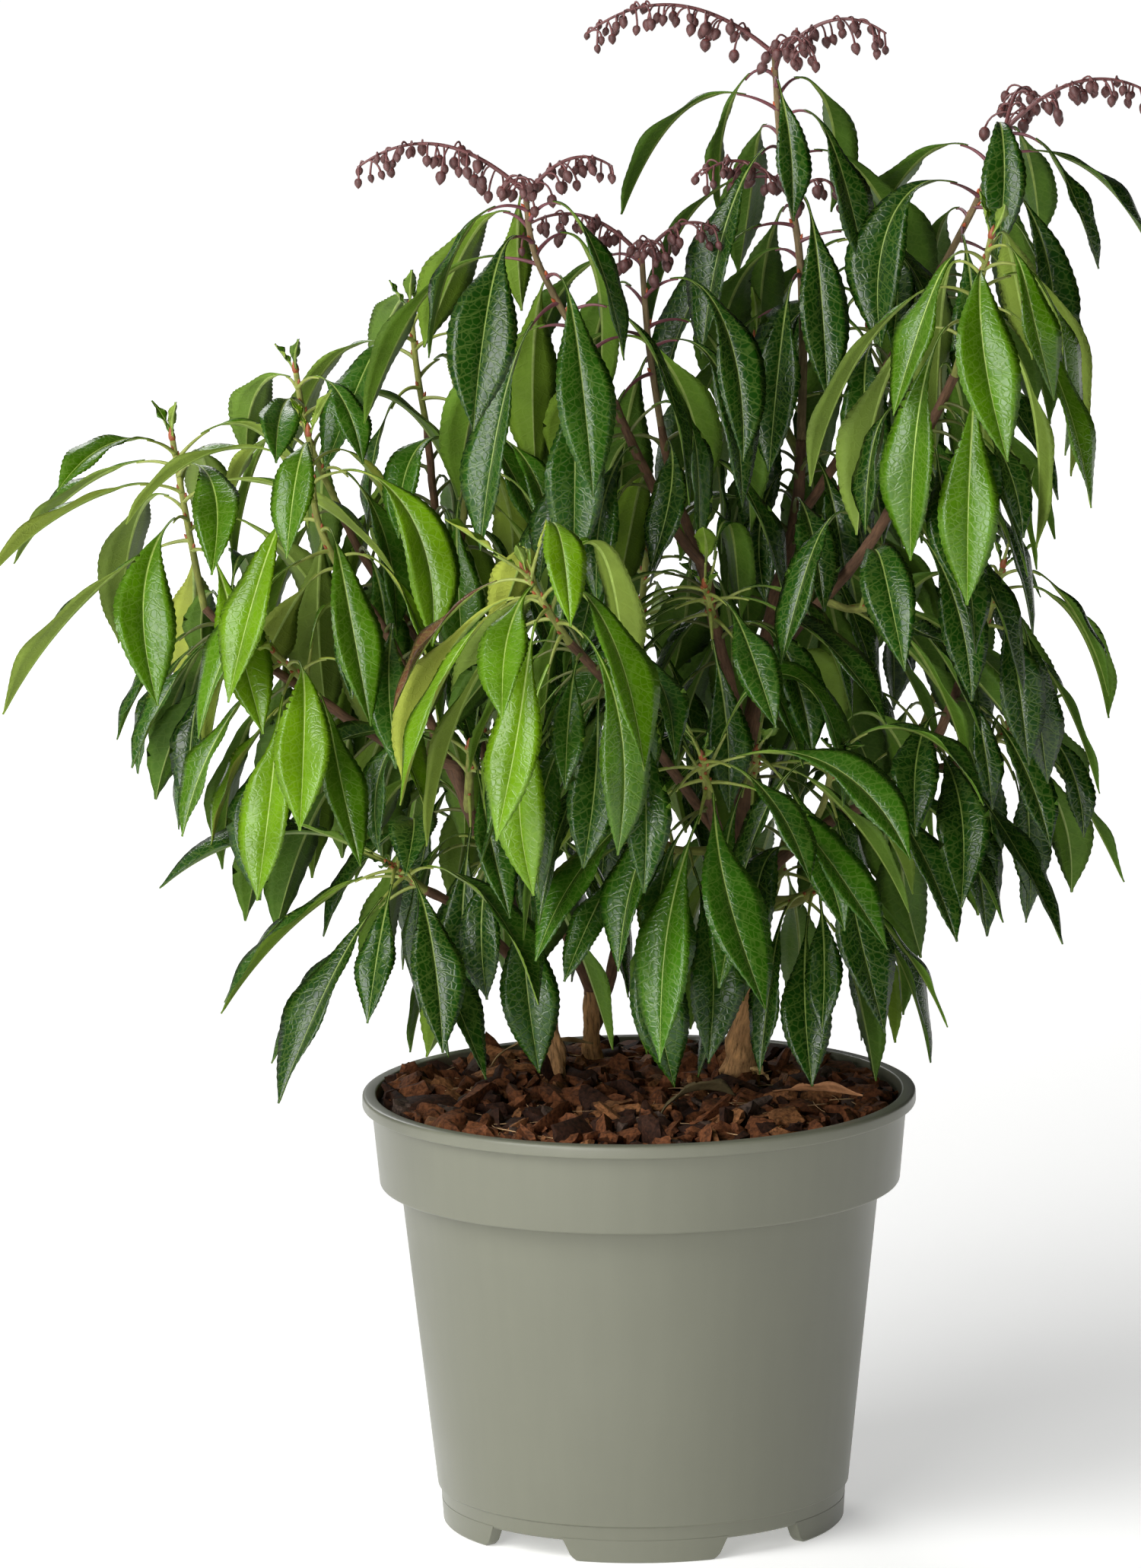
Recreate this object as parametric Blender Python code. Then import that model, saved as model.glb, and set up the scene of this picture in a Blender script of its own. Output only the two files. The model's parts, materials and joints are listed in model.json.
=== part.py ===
"""Pieris shrub in its moulded plastic pot: pot, root ball, three trunks, boughs and leafy shoots.

Metres, +Z up. The origin is the middle of the pot's flat underside. -Y is the front.
Every mass of foliage is one shoot: a stem with long leaves set round it by the golden angle, each on an
arched stalk, and on the flowering shoots arching sprays of closed buds. A leaf that would touch a limb,
the pot or another leaf is turned or shortened, and skipped when no place is found.
"""

import math
from collections import namedtuple

import bmesh
import bpy
import numpy as np
from mathutils import Vector
from mathutils.bvhtree import BVHTree

# Pot: an injection-moulded nursery pot with a rim band, standing on short feet
POT_HEIGHT = 0.150
RIM_RADIUS = 0.095
BEAD_HEIGHT = 0.0045
BEAD_EDGE = 0.0006
BAND_TOP_RADIUS = 0.0918
BAND_BOTTOM_RADIUS = 0.0893
BAND_BOTTOM_Z = 0.1200
SHOULDER_RADIUS = 0.0822
SHOULDER_Z = 0.1180
MID_Z = 0.062
BASE_RADIUS = 0.0702
BASE_Z = 0.0070
WALL = 0.0016
FLOOR_THICKNESS = 0.0024
CORNER = 0.0010
FOOT_COUNT = 5
FOOT_HALF_ANGLE = math.radians(24)
FOOT_TAPER = math.radians(2.5)
FOOT_INSET = 0.0006
FOOT_WIDTH = 0.0050
FOOT_SECTIONS = 5
PAD_RADIUS = 0.0200
POT_SEGMENTS = 32
PAD_SEGMENTS = 24

# Root ball, with bark mulch on top
CLEAR = 0.0003
SOIL_Z = 0.1490
SOIL_FLAT_RADIUS = 0.066
SOIL_EDGE_DROP = 0.0035
SOIL_EDGE_WIDTH = 0.010
SOIL_EDGE_STEP = 0.001

# Limbs and stems: sides and rings of their skins, and the widening of a trunk at its foot
SPLINE_STEPS = 8
PATH_POINTS = 200
PATH_KNOTS = 20
TRUNK_SIDES = 8
TRUNK_RINGS = 6
LIMB_SIDES = 5
STEM_SIDES = 3
STEM_RINGS = 5
STEM_TIP_RADIUS = 0.0010
STEM_SHARE = 0.9
FLARE_REACH = 0.005

# Leaf blades: long, widest past the middle, folded along the midrib
LEAF_WIDTH_RATIO = 0.255
WIDEST_AT = 0.58
END_SHARPNESS = 1.15
FOLD = 0.30
LEAF_THICKNESS = 0.0009
STALK_LENGTH = 0.011
STALK_RADIUS = 0.0007
STALK_TOP = 0.6
LEAF_MARGIN = 0.0004
CURVE_STEPS = 24
BLADE_SECTIONS = (0.30, 0.68)
TEST_SECTIONS = (0.0, 0.14, 0.32, 0.52, 0.72, 0.88)

# Leaf placing: leaves leave the stem steeply, arch over and settle towards the ground
GOLDEN_ANGLE = math.radians(137.5)
PLACING_TRIES = 14
MULCH_HEADROOM = 0.006
BARE_TIP = 0.05
CROWDING = 1.25
TIP_LENGTH = 0.62
LENGTH_GAIN = 0.9
LENGTH_JITTER = 0.08
LENGTH_LOSS = 0.018
TURN_JITTER = 0.12
TURN_SEARCH = 0.05
TIP_LIFT = 42
LIFT_GAIN = 34
LIFT_JITTER = 10
PULL_JITTER = 0.12
INWARD_PULL = 0.12
DROOP_AT_TIP = 0.90
DROOP_GAIN = 0.14
DROOP_JITTER = 0.10
DROOP_SEARCH = 0.01
DROOP_LIMITS = (0.2, 0.97)
EARLY_BEND = 0.62
SETTLE_SLOW = 3.5
SETTLE_QUICK = 10.0
TWIST = 0.7
YOUNG_LENGTH = 0.42
YOUNG_LIFT = 10
YOUNG_DROOP = 0.35
CLEAR_OF_STEM = 2.2

# Bud sprays: a thin arched stalk whose teeth are the hanging buds
SPRAY_LENGTH = 0.064
SPRAY_TEETH = 5
SPRAY_SETTLE = 1.3
SPRAY_DROOP = 0.62
SPRAY_RISE = 0.15
SPRAY_REACH = 0.65
SPRAY_PULL = 0.30
SPRAY_START = 0.10
SPRAY_END = 0.96
SPRAY_BARE = 0.20
SPRAY_TOP = 0.0008
BUD_HANG = 0.0075
BUD_HALF_WIDTH = 0.0028
BASE_BUD_SHARE = 0.7
RACHIS_HANG = 0.0012
RACHIS_HALF_WIDTH = 0.0007

FLAT_ANGLE = math.radians(1.0)

Limb = namedtuple("Limb", "name parent path base_radius tip_radius flare")
Shoot = namedtuple("Shoot", "name parent path leaves leaf_length spread droop turn tint sprays seed")

# Each limb starts on its parent's axis and is cut back until it is clear of the parent's bark
LIMBS = (
    Limb("trunk_left", None,
         ((-0.0285, 0.0235, 0.140), (-0.029, 0.023, 0.160), (-0.033, 0.020, 0.177), (-0.037, 0.017, 0.192)),
         0.0034, 0.0027, 0.0010),
    Limb("trunk_middle", None,
         ((-0.0155, 0.0545, 0.140), (-0.016, 0.054, 0.157), (-0.016, 0.053, 0.174)),
         0.0029, 0.0025, 0.0007),
    Limb("trunk_right", None,
         ((0.034, 0.018, 0.140), (0.0355, 0.018, 0.162), (0.040, 0.016, 0.183), (0.039, 0.012, 0.209),
          (0.037, 0.008, 0.233)),
         0.0050, 0.0036, 0.0030),
    Limb("bough_left", "trunk_left",
         ((-0.037, 0.017, 0.192), (-0.046, 0.004, 0.222), (-0.056, -0.010, 0.247), (-0.061, -0.018, 0.266)),
         0.0025, 0.0021, 0.0),
    Limb("bough_far_left", "bough_left",
         ((-0.061, -0.018, 0.266), (-0.083, -0.014, 0.273), (-0.107, -0.008, 0.288), (-0.133, 0.000, 0.305),
          (-0.146, 0.004, 0.318)),
         0.0020, 0.0014, 0.0),
    Limb("bough_left_front", "bough_left",
         ((-0.055, -0.009, 0.245), (-0.070, -0.015, 0.282), (-0.086, -0.018, 0.316), (-0.095, -0.020, 0.328)),
         0.0018, 0.0015, 0.0),
    Limb("bough_low_left", "trunk_left",
         ((-0.0325, 0.0205, 0.178), (-0.046, 0.003, 0.199), (-0.060, -0.014, 0.216), (-0.072, -0.024, 0.225)),
         0.0019, 0.0016, 0.0),
    Limb("bough_back_left", "trunk_middle",
         ((-0.016, 0.053, 0.174), (-0.022, 0.050, 0.190), (-0.032, 0.046, 0.213), (-0.051, 0.040, 0.258),
          (-0.063, 0.038, 0.298), (-0.067, 0.038, 0.339), (-0.070, 0.040, 0.374)),
         0.0022, 0.0013, 0.0),
    Limb("bough_upper_left", "bough_back_left",
         ((-0.055, 0.040, 0.270), (-0.076, 0.032, 0.305), (-0.094, 0.026, 0.335), (-0.101, 0.024, 0.351)),
         0.0016, 0.0013, 0.0),
    Limb("bough_inner_left", "bough_back_left",
         ((-0.060, 0.0385, 0.285), (-0.061, 0.030, 0.306), (-0.060, 0.025, 0.325), (-0.058, 0.022, 0.343)),
         0.0015, 0.0013, 0.0),
    Limb("bough_back", "trunk_middle",
         ((-0.016, 0.0540, 0.158), (-0.009, 0.063, 0.176), (-0.002, 0.069, 0.220), (0.002, 0.072, 0.270)),
         0.0021, 0.0018, 0.0),
    Limb("bough_right_leader", "trunk_right",
         ((0.037, 0.008, 0.233), (0.037, 0.006, 0.252), (0.041, 0.008, 0.281), (0.045, 0.012, 0.301),
          (0.049, 0.016, 0.319), (0.056, 0.020, 0.345), (0.058, 0.022, 0.371)),
         0.0034, 0.0018, 0.0),
    Limb("bough_centre", "bough_right_leader",
         ((0.038, 0.006, 0.260), (0.034, -0.006, 0.285), (0.028, -0.013, 0.310), (0.024, -0.018, 0.334)),
         0.0023, 0.0020, 0.0),
    Limb("bough_front_bud", "bough_centre",
         ((0.024, -0.018, 0.334), (0.016, -0.020, 0.344), (0.001, -0.026, 0.375), (-0.006, -0.029, 0.392)),
         0.0019, 0.0015, 0.0),
    Limb("bough_mid_bud", "bough_centre",
         ((0.0265, -0.015, 0.319), (0.022, -0.006, 0.336), (0.014, -0.003, 0.359), (0.010, -0.003, 0.380)),
         0.0017, 0.0014, 0.0),
    Limb("bough_front", "trunk_right",
         ((0.038, 0.010, 0.222), (0.034, -0.010, 0.232), (0.028, -0.036, 0.244), (0.024, -0.056, 0.262)),
         0.0022, 0.0019, 0.0),
    Limb("bough_front_left", "bough_front",
         ((0.0285, -0.034, 0.2432), (0.009, -0.062, 0.276), (-0.009, -0.082, 0.304), (-0.022, -0.094, 0.321)),
         0.0018, 0.0015, 0.0),
    Limb("bough_right", "bough_right_leader",
         ((0.043, 0.010, 0.291), (0.053, 0.000, 0.307), (0.065, -0.012, 0.322), (0.082, -0.028, 0.346),
          (0.094, -0.038, 0.372), (0.108, -0.047, 0.402)),
         0.0022, 0.0016, 0.0),
    Limb("bough_far_right", "bough_right_leader",
         ((0.055, 0.019, 0.341), (0.072, 0.026, 0.366), (0.092, 0.030, 0.403), (0.107, 0.030, 0.429)),
         0.0017, 0.0014, 0.0),
    Limb("bough_low_right", "trunk_right",
         ((0.0385, 0.011, 0.217), (0.062, 0.010, 0.238), (0.085, 0.006, 0.250), (0.099, 0.000, 0.264),
          (0.108, -0.008, 0.285), (0.115, -0.012, 0.303)),
         0.0022, 0.0015, 0.0),
    Limb("bough_right_edge", "bough_low_right",
         ((0.094, 0.003, 0.257), (0.102, 0.006, 0.259), (0.110, 0.009, 0.260), (0.118, 0.011, 0.262)),
         0.0016, 0.0013, 0.0),
    Limb("bough_back_right", "bough_right_leader",
         ((0.044, 0.011, 0.297), (0.052, 0.030, 0.312), (0.066, 0.048, 0.335), (0.078, 0.058, 0.365),
          (0.082, 0.062, 0.392)),
         0.0018, 0.0014, 0.0),
)

# Shoots: parent, path from base to tip, leaves, leaf length, leafy share of the stem, droop, first azimuth
# in degrees (0 is the right, -90 the front), tint, bud sprays as (azimuth, length factor, place), seed
SHOOTS = (
    Shoot("foliage_front", "bough_front",
          ((0.024, -0.056, 0.262), (0.023, -0.063, 0.270), (0.022, -0.069, 0.277)),
          12, 0.084, 0.85, 0.68, 180, "mid", (), 32),
    Shoot("foliage_front_left", "bough_front_left",
          ((-0.022, -0.094, 0.321), (-0.029, -0.100, 0.333), (-0.036, -0.104, 0.346)),
          14, 0.080, 0.90, 0.78, 240, "bright", (), 31),
    Shoot("foliage_low_left", "bough_low_left",
          ((-0.072, -0.024, 0.225), (-0.078, -0.031, 0.231), (-0.083, -0.037, 0.236)),
          12, 0.078, 0.85, 0.66, 120, "dark", (), 67),
    Shoot("foliage_low_middle", "bough_left",
          ((-0.049, -0.001, 0.230), (-0.045, -0.018, 0.238), (-0.041, -0.030, 0.246)),
          9, 0.076, 0.80, 0.86, 100, "dark", (), 69),
    Shoot("foliage_low_front", "bough_front",
          ((0.032, -0.020, 0.237), (0.014, -0.026, 0.238), (0.000, -0.032, 0.246)),
          9, 0.074, 0.70, 0.86, 280, "dark", (), 38),
    Shoot("foliage_left_whorl", "bough_left",
          ((-0.057, -0.0115, 0.250), (-0.0565, -0.027, 0.263), (-0.056, -0.040, 0.277)),
          11, 0.078, 0.85, 0.76, 0, "dark", (), 28),
    Shoot("foliage_inner_front", "bough_right_leader",
          ((0.038, 0.006, 0.255), (0.040, -0.016, 0.262), (0.041, -0.036, 0.274)),
          9, 0.074, 0.55, 0.72, 30, "mid", (), 35),
    Shoot("foliage_front_right", "bough_low_right",
          ((0.060, 0.010, 0.239), (0.064, -0.015, 0.252), (0.067, -0.042, 0.274)),
          10, 0.074, 0.50, 0.74, 270, "dark", (), 36),
    Shoot("foliage_low_right", "trunk_right",
          ((0.039, 0.011, 0.212), (0.053, -0.006, 0.216), (0.065, -0.024, 0.226)),
          10, 0.068, 0.60, 0.84, 80, "dark", (), 83),
    Shoot("foliage_top", "bough_right_leader",
          ((0.058, 0.022, 0.371), (0.059, 0.024, 0.402), (0.057, 0.026, 0.446), (0.052, 0.027, 0.471),
           (0.050, 0.028, 0.504)),
          19, 0.078, 0.74, 0.82, 0, "dark",
          ((184, 1.10, 0.99), (-12, 0.70, 0.97), (-70, 0.55, 0.95), (205, 0.62, 0.62), (20, 0.30, 0.60)), 51),
    Shoot("foliage_right_bud", "bough_far_right",
          ((0.107, 0.030, 0.429), (0.119, 0.029, 0.452), (0.129, 0.028, 0.477)),
          12, 0.078, 0.85, 0.80, 320, "dark", ((2, 0.92, 0.98), (70, 0.55, 0.96)), 52),
    Shoot("foliage_front_bud", "bough_front_bud",
          ((-0.006, -0.029, 0.392), (-0.016, -0.032, 0.412), (-0.031, -0.036, 0.440), (-0.035, -0.038, 0.465)),
          14, 0.084, 0.80, 0.84, 60, "dark", ((181, 0.98, 0.99), (10, 0.55, 0.97), (-100, 0.40, 0.95)), 53),
    Shoot("foliage_mid_bud", "bough_mid_bud",
          ((0.010, -0.003, 0.380), (0.006, -0.006, 0.409), (0.004, -0.008, 0.439)),
          13, 0.080, 0.80, 0.86, 140, "dark", ((188, 0.75, 0.99), (10, 0.50, 0.97), (-80, 0.35, 0.95)), 54),
    Shoot("foliage_far_left", "bough_far_left",
          ((-0.146, 0.004, 0.318), (-0.151, 0.005, 0.345), (-0.156, 0.005, 0.376)),
          14, 0.080, 0.75, 0.68, 100, "bright", (), 21),
    Shoot("foliage_left_front", "bough_left_front",
          ((-0.095, -0.020, 0.328), (-0.106, -0.022, 0.350), (-0.109, -0.024, 0.381)),
          15, 0.076, 0.90, 0.78, 0, "bright", (), 22),
    Shoot("foliage_upper_left", "bough_upper_left",
          ((-0.101, 0.024, 0.351), (-0.110, 0.021, 0.373), (-0.114, 0.018, 0.397)),
          10, 0.068, 0.80, 0.72, 180, "mid", (), 23),
    Shoot("foliage_back_left_top", "bough_back_left",
          ((-0.070, 0.040, 0.374), (-0.073, 0.041, 0.393), (-0.075, 0.042, 0.414)),
          10, 0.070, 0.80, 0.74, 180, "mid", (), 64),
    Shoot("foliage_inner_left", "bough_inner_left",
          ((-0.058, 0.022, 0.343), (-0.056, 0.022, 0.359), (-0.052, 0.022, 0.377)),
          9, 0.070, 0.80, 0.77, 20, "mid", (), 25),
    Shoot("foliage_left_low_front", "bough_far_left",
          ((-0.108, -0.009, 0.289), (-0.114, -0.022, 0.299), (-0.122, -0.032, 0.309)),
          12, 0.074, 0.85, 0.82, 140, "bright", (), 66),
    Shoot("foliage_centre_whorl", "bough_centre",
          ((0.0275, -0.0135, 0.313), (0.026, -0.026, 0.320), (0.024, -0.036, 0.330)),
          11, 0.074, 0.80, 0.70, 30, "dark", (), 33),
    Shoot("foliage_right", "bough_right",
          ((0.108, -0.047, 0.402), (0.115, -0.052, 0.428), (0.120, -0.054, 0.449)),
          16, 0.084, 0.90, 0.88, 160, "bright", (), 74),
    Shoot("foliage_fork_right", "bough_right",
          ((0.064, -0.011, 0.321), (0.073, -0.020, 0.319), (0.081, -0.030, 0.321)),
          10, 0.072, 0.80, 0.66, 300, "dark", (), 37),
    Shoot("foliage_right_low", "bough_low_right",
          ((0.115, -0.012, 0.303), (0.121, -0.015, 0.318), (0.125, -0.016, 0.332)),
          12, 0.070, 0.90, 0.86, 200, "dark", (), 81),
    Shoot("foliage_right_edge", "bough_right_edge",
          ((0.118, 0.011, 0.262), (0.124, 0.014, 0.268), (0.129, 0.015, 0.275)),
          11, 0.062, 0.85, 0.84, 160, "dark", (), 42),
    Shoot("foliage_back_right", "bough_back_right",
          ((0.082, 0.062, 0.392), (0.084, 0.064, 0.415), (0.086, 0.066, 0.438)),
          12, 0.076, 0.90, 0.80, 240, "dark", (), 51),
    Shoot("foliage_back_right_side", "bough_back_right",
          ((0.062, 0.043, 0.328), (0.078, 0.062, 0.330), (0.096, 0.076, 0.338)),
          11, 0.074, 0.75, 0.80, 105, "dark", (), 52),
    Shoot("foliage_back_right_low", "bough_low_right",
          ((0.086, 0.006, 0.251), (0.096, 0.030, 0.262), (0.104, 0.050, 0.278)),
          10, 0.072, 0.70, 0.74, 270, "dark", (), 53),
    Shoot("foliage_top_back", "bough_right_leader",
          ((0.0575, 0.0215, 0.365), (0.050, 0.044, 0.380), (0.044, 0.060, 0.400)),
          11, 0.076, 0.70, 0.82, 165, "dark", (), 54),
    Shoot("foliage_back", "bough_back",
          ((0.002, 0.072, 0.270), (0.003, 0.078, 0.300), (0.006, 0.084, 0.330)),
          14, 0.078, 0.85, 0.80, 330, "dark", (), 55),
    Shoot("foliage_back_side", "bough_back",
          ((0.001, 0.0715, 0.262), (-0.016, 0.086, 0.275), (-0.028, 0.098, 0.295)),
          10, 0.074, 0.75, 0.82, 0, "dark", (), 56),
    Shoot("foliage_inner_back", "bough_back",
          ((0.000, 0.070, 0.245), (-0.006, 0.048, 0.280), (-0.008, 0.030, 0.312)),
          10, 0.072, 0.60, 0.84, 90, "dark", (), 57),
    Shoot("foliage_back_left", "bough_back_left",
          ((-0.042, 0.043, 0.236), (-0.052, 0.062, 0.262), (-0.058, 0.078, 0.290)),
          11, 0.074, 0.70, 0.80, 280, "dark", (), 58),
    Shoot("foliage_low_back_left", "bough_back_left",
          ((-0.026, 0.049, 0.200), (-0.044, 0.066, 0.212), (-0.058, 0.080, 0.228)),
          10, 0.070, 0.65, 0.80, 160, "dark", (), 59),
    Shoot("foliage_low_back_right", "trunk_right",
          ((0.0395, 0.015, 0.198), (0.048, 0.040, 0.214), (0.055, 0.064, 0.236)),
          11, 0.072, 0.65, 0.74, 340, "dark", (), 60),
)

TINTS = {"bright": (0.105, 0.235, 0.030), "mid": (0.055, 0.150, 0.028), "dark": (0.024, 0.085, 0.030)}


def unit(vector):
    """The vector, or each row of vectors, at length 1."""
    vector = np.asarray(vector, float)
    return vector / np.linalg.norm(vector, axis=-1, keepdims=True)


def smooth_path(points, count):
    """Catmull-Rom curve through the points, resampled to `count` points at even distances."""
    p = np.asarray(points, float)
    p = np.vstack((2 * p[0] - p[1], p, 2 * p[-1] - p[-2]))
    u = np.linspace(0, 1, SPLINE_STEPS + 1)[:-1, None]
    spans = []
    for a, b, c, d in zip(p[:-3], p[1:-2], p[2:-1], p[3:]):
        cubic = 2 * b + (c - a) * u + (2 * a - 5 * b + 4 * c - d) * u ** 2 + (3 * b - a - 3 * c + d) * u ** 3
        spans.append(cubic / 2)
    fine = np.vstack(spans + [p[-2:-1]])
    distance = np.concatenate(([0], np.cumsum(np.linalg.norm(np.diff(fine, axis=0), axis=1))))
    even = np.linspace(0, distance[-1], count)
    return np.stack([np.interp(even, distance, fine[:, i]) for i in range(3)], axis=1)


def frames(path, first_axis=None):
    """Tangent and two side vectors at each point, carried along the path without twist."""
    tangent = unit(np.gradient(path, axis=0))
    if first_axis is not None:
        tangent[0] = first_axis
    side = unit(np.cross(tangent[0], (0.3, 1.0, 0.1)))
    sides = []
    for t in tangent:
        side = unit(side - t * np.dot(side, t))
        sides.append(side)
    sides = np.array(sides)
    return tangent, sides, np.cross(tangent, sides)


def loft(rings, apex=None):
    """Vertices and triangles of a closed skin over rings of equal size, with an optional point at its end."""
    rings = np.asarray(rings, float)
    count, size = rings.shape[:2]
    verts = list(rings.reshape(-1, 3))
    faces = [(0, i + 1, i) for i in range(1, size - 1)]
    for r in range(count - 1):
        for i in range(size):
            a = r * size + i
            b = r * size + (i + 1) % size
            faces.append((a, b, b + size))
            faces.append((a, b + size, a + size))
    last = (count - 1) * size
    if apex is None:
        faces += [(last, last + i, last + i + 1) for i in range(1, size - 1)]
    else:
        verts.append(np.asarray(apex, float))
        top = len(verts) - 1
        faces += [(last + i, last + (i + 1) % size, top) for i in range(size)]
    return np.array(verts), faces


def tube(path, radii, sides, first_axis=None):
    """Rings of `sides` points at the given radii round a path."""
    _, across, up = frames(path, first_axis)
    angle = np.arange(sides) * math.tau / sides
    ring = np.cos(angle)[None, :, None] * across[:, None] + np.sin(angle)[None, :, None] * up[:, None]
    return path[:, None] + ring * np.asarray(radii)[:, None, None]


class Axis:
    """A limb's or stem's centre line with its radii, from a clear start to its tip."""

    def __init__(self, path, base_radius, tip_radius, parent, count, sides, flare=0.0):
        self.sides = sides
        fine = smooth_path(path, PATH_POINTS)
        self.first_axis = None
        start = 0
        if parent is None:
            fine[:, 2] = np.maximum(fine[:, 2], SOIL_Z + CLEAR)
            start = int(np.argmax(fine[:, 2] > SOIL_Z + 2 * CLEAR)) - 1
            self.first_axis = (0, 0, 1)
        elif np.linalg.norm(fine[0] - parent.path[-1]) < 2 * parent.radii[-1]:
            ahead = unit(parent.path[-1] - parent.path[-2])
            fade = np.linspace(1, 0, PATH_POINTS)[:, None]
            fine = fine + (parent.path[-1] + ahead * CLEAR - fine[0]) * fade
            self.first_axis = ahead
        else:
            start = self.clear_start(fine, base_radius, parent.skin())
        knots = np.linspace(start, PATH_POINTS - 1, PATH_KNOTS).astype(int)
        self.path = smooth_path(fine[knots], count)
        run = np.concatenate(([0], np.cumsum(np.linalg.norm(np.diff(self.path, axis=0), axis=1))))
        self.radii = np.linspace(base_radius, tip_radius, count) + flare * np.exp(-run / FLARE_REACH)

    def clear_start(self, fine, radius, skin):
        """First point of the path where the flat end of this limb stands clear of its parent's skin."""
        bark = BVHTree.FromPolygons([tuple(v) for v in skin[0]], skin[1])
        for i in range(len(fine) - 1):
            end = tube(fine[i:i + 2], (radius, radius), self.sides)[0]
            points = np.vstack((end, (end + np.roll(end, 1, axis=0)) / 2, fine[i:i + 1]))
            if min(self.height_above(bark, point) for point in points) > CLEAR:
                return i
        raise ValueError("a limb never leaves its parent")

    @staticmethod
    def height_above(bark, point):
        """Distance from a skin, negative inside it."""
        near, normal, _, distance = bark.find_nearest(tuple(point))
        return distance if normal.dot(Vector(point) - near) > 0 else -distance

    def skin(self, margin=0.0):
        """Vertices and triangles of the limb."""
        return loft(tube(self.path, self.radii + margin, self.sides, self.first_axis))

    def at(self, place):
        """Point, direction and radius at a place from 0 to 1."""
        places = np.linspace(0, 1, len(self.path))
        tangent = unit(np.gradient(self.path, axis=0))
        point = np.array([np.interp(place, places, self.path[:, k]) for k in range(3)])
        ahead = unit([np.interp(place, places, tangent[:, k]) for k in range(3)])
        return point, ahead, np.interp(place, places, self.radii)


def half_width(t):
    """Half width of a blade, as a share of its widest: widest a little past the middle, with drawn-out ends."""
    return np.sin(math.pi * t ** (math.log(0.5) / math.log(WIDEST_AT))) ** END_SHARPNESS


class Leaf:
    """One leaf: a stalk and blade along a curve that leaves the stem and settles towards the ground."""

    def __init__(self, root, first, pull, droop, length, stalk, settle, twist=0.0):
        u = (np.arange(CURVE_STEPS) + 0.5) / CURVE_STEPS
        lean = (droop * (EARLY_BEND * (1 - (1 - u) ** settle) + (1 - EARLY_BEND) * u))[:, None]
        heading = unit((1 - lean) * first + lean * pull)
        steps = np.cumsum(heading, axis=0) * (length / CURVE_STEPS)
        self.points = np.vstack((root, root + steps))
        self.headings = np.vstack((heading, heading[-1:]))
        side = unit(np.cross(pull, first))
        normal = np.cross(side, self.headings)
        turn = (twist * np.linspace(0, 1, CURVE_STEPS + 1))[:, None]
        self.sides = side * np.cos(turn) + normal * np.sin(turn)
        self.normals = normal * np.cos(turn) - side * np.sin(turn)
        self.length = length
        self.stalk = stalk / length
        self.width = LEAF_WIDTH_RATIO * (length - stalk)

    def at(self, s):
        """Centre, side and normal at the share s of the whole length."""
        grid = np.linspace(0, 1, CURVE_STEPS + 1)
        rows = (self.points, self.sides, self.normals)
        centre, side, normal = [np.array([np.interp(s, grid, row[:, i]) for i in range(3)]) for row in rows]
        return centre, unit(side), unit(normal)

    def ring(self, t, margin=0.0):
        """Left edge, keel and right edge of the blade at share t of the blade."""
        centre, side, normal = self.at(self.stalk + t * (1 - self.stalk))
        half = max(self.width / 2 * half_width(t), STALK_RADIUS) + margin
        rise = FOLD * half + margin
        return (centre - side * half + normal * rise, centre - normal * (LEAF_THICKNESS + margin),
                centre + side * half + normal * rise)

    def stalk_ring(self, s):
        """Three points round the stalk at share s of the whole length."""
        centre, side, normal = self.at(s)
        top = centre + normal * STALK_RADIUS * STALK_TOP
        return top - side * STALK_RADIUS, centre - normal * STALK_RADIUS, top + side * STALK_RADIUS

    def solid(self):
        """The leaf as it is built: one keeled blade that narrows to its stalk."""
        rings = [self.stalk_ring(0.0)] + [self.ring(t) for t in BLADE_SECTIONS]
        return loft(rings, self.points[-1])

    def test_shape(self, clear_of_stem):
        """Vertices and triangles, a little larger than the leaf, that must touch nothing."""
        start = self.stalk_ring(min(clear_of_stem / self.length, self.stalk * 0.8))
        verts, faces = loft([start] + [self.ring(t, LEAF_MARGIN) for t in TEST_SECTIONS], self.points[-1])
        rings = np.array([self.stalk_ring(0.0)] + [self.ring(t, LEAF_MARGIN) for t in BLADE_SECTIONS])
        rings[0] += (rings[1] - rings[0]) * clear_of_stem / np.linalg.norm(rings[1, 1] - rings[0, 1])
        more, more_faces = loft(rings, self.points[-1])
        faces += [tuple(i + len(verts) for i in face) for face in more_faces]
        return np.vstack((verts, more)), faces


class Space:
    """Everything placed so far, as boxes and search trees."""

    def __init__(self):
        self.lows = []
        self.highs = []
        self.trees = []

    def add(self, verts, faces):
        """Keeps a placed shape."""
        self.lows.append(verts.min(0))
        self.highs.append(verts.max(0))
        self.trees.append(BVHTree.FromPolygons([tuple(v) for v in verts], faces))

    def free(self, verts, faces):
        """True where a shape touches nothing placed so far, nor the pot and its mulch."""
        reach = np.hypot(verts[:, 0], verts[:, 1])
        if np.any((verts[:, 2] < SOIL_Z + MULCH_HEADROOM) & (reach < RIM_RADIUS + MULCH_HEADROOM)):
            return False
        near = np.all((np.array(self.lows) <= verts.max(0)) & (np.array(self.highs) >= verts.min(0)), axis=1)
        hits = np.flatnonzero(near)
        if not len(hits):
            return True
        tree = BVHTree.FromPolygons([tuple(v) for v in verts], faces)
        return not any(tree.overlap(self.trees[i]) for i in hits)


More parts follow.
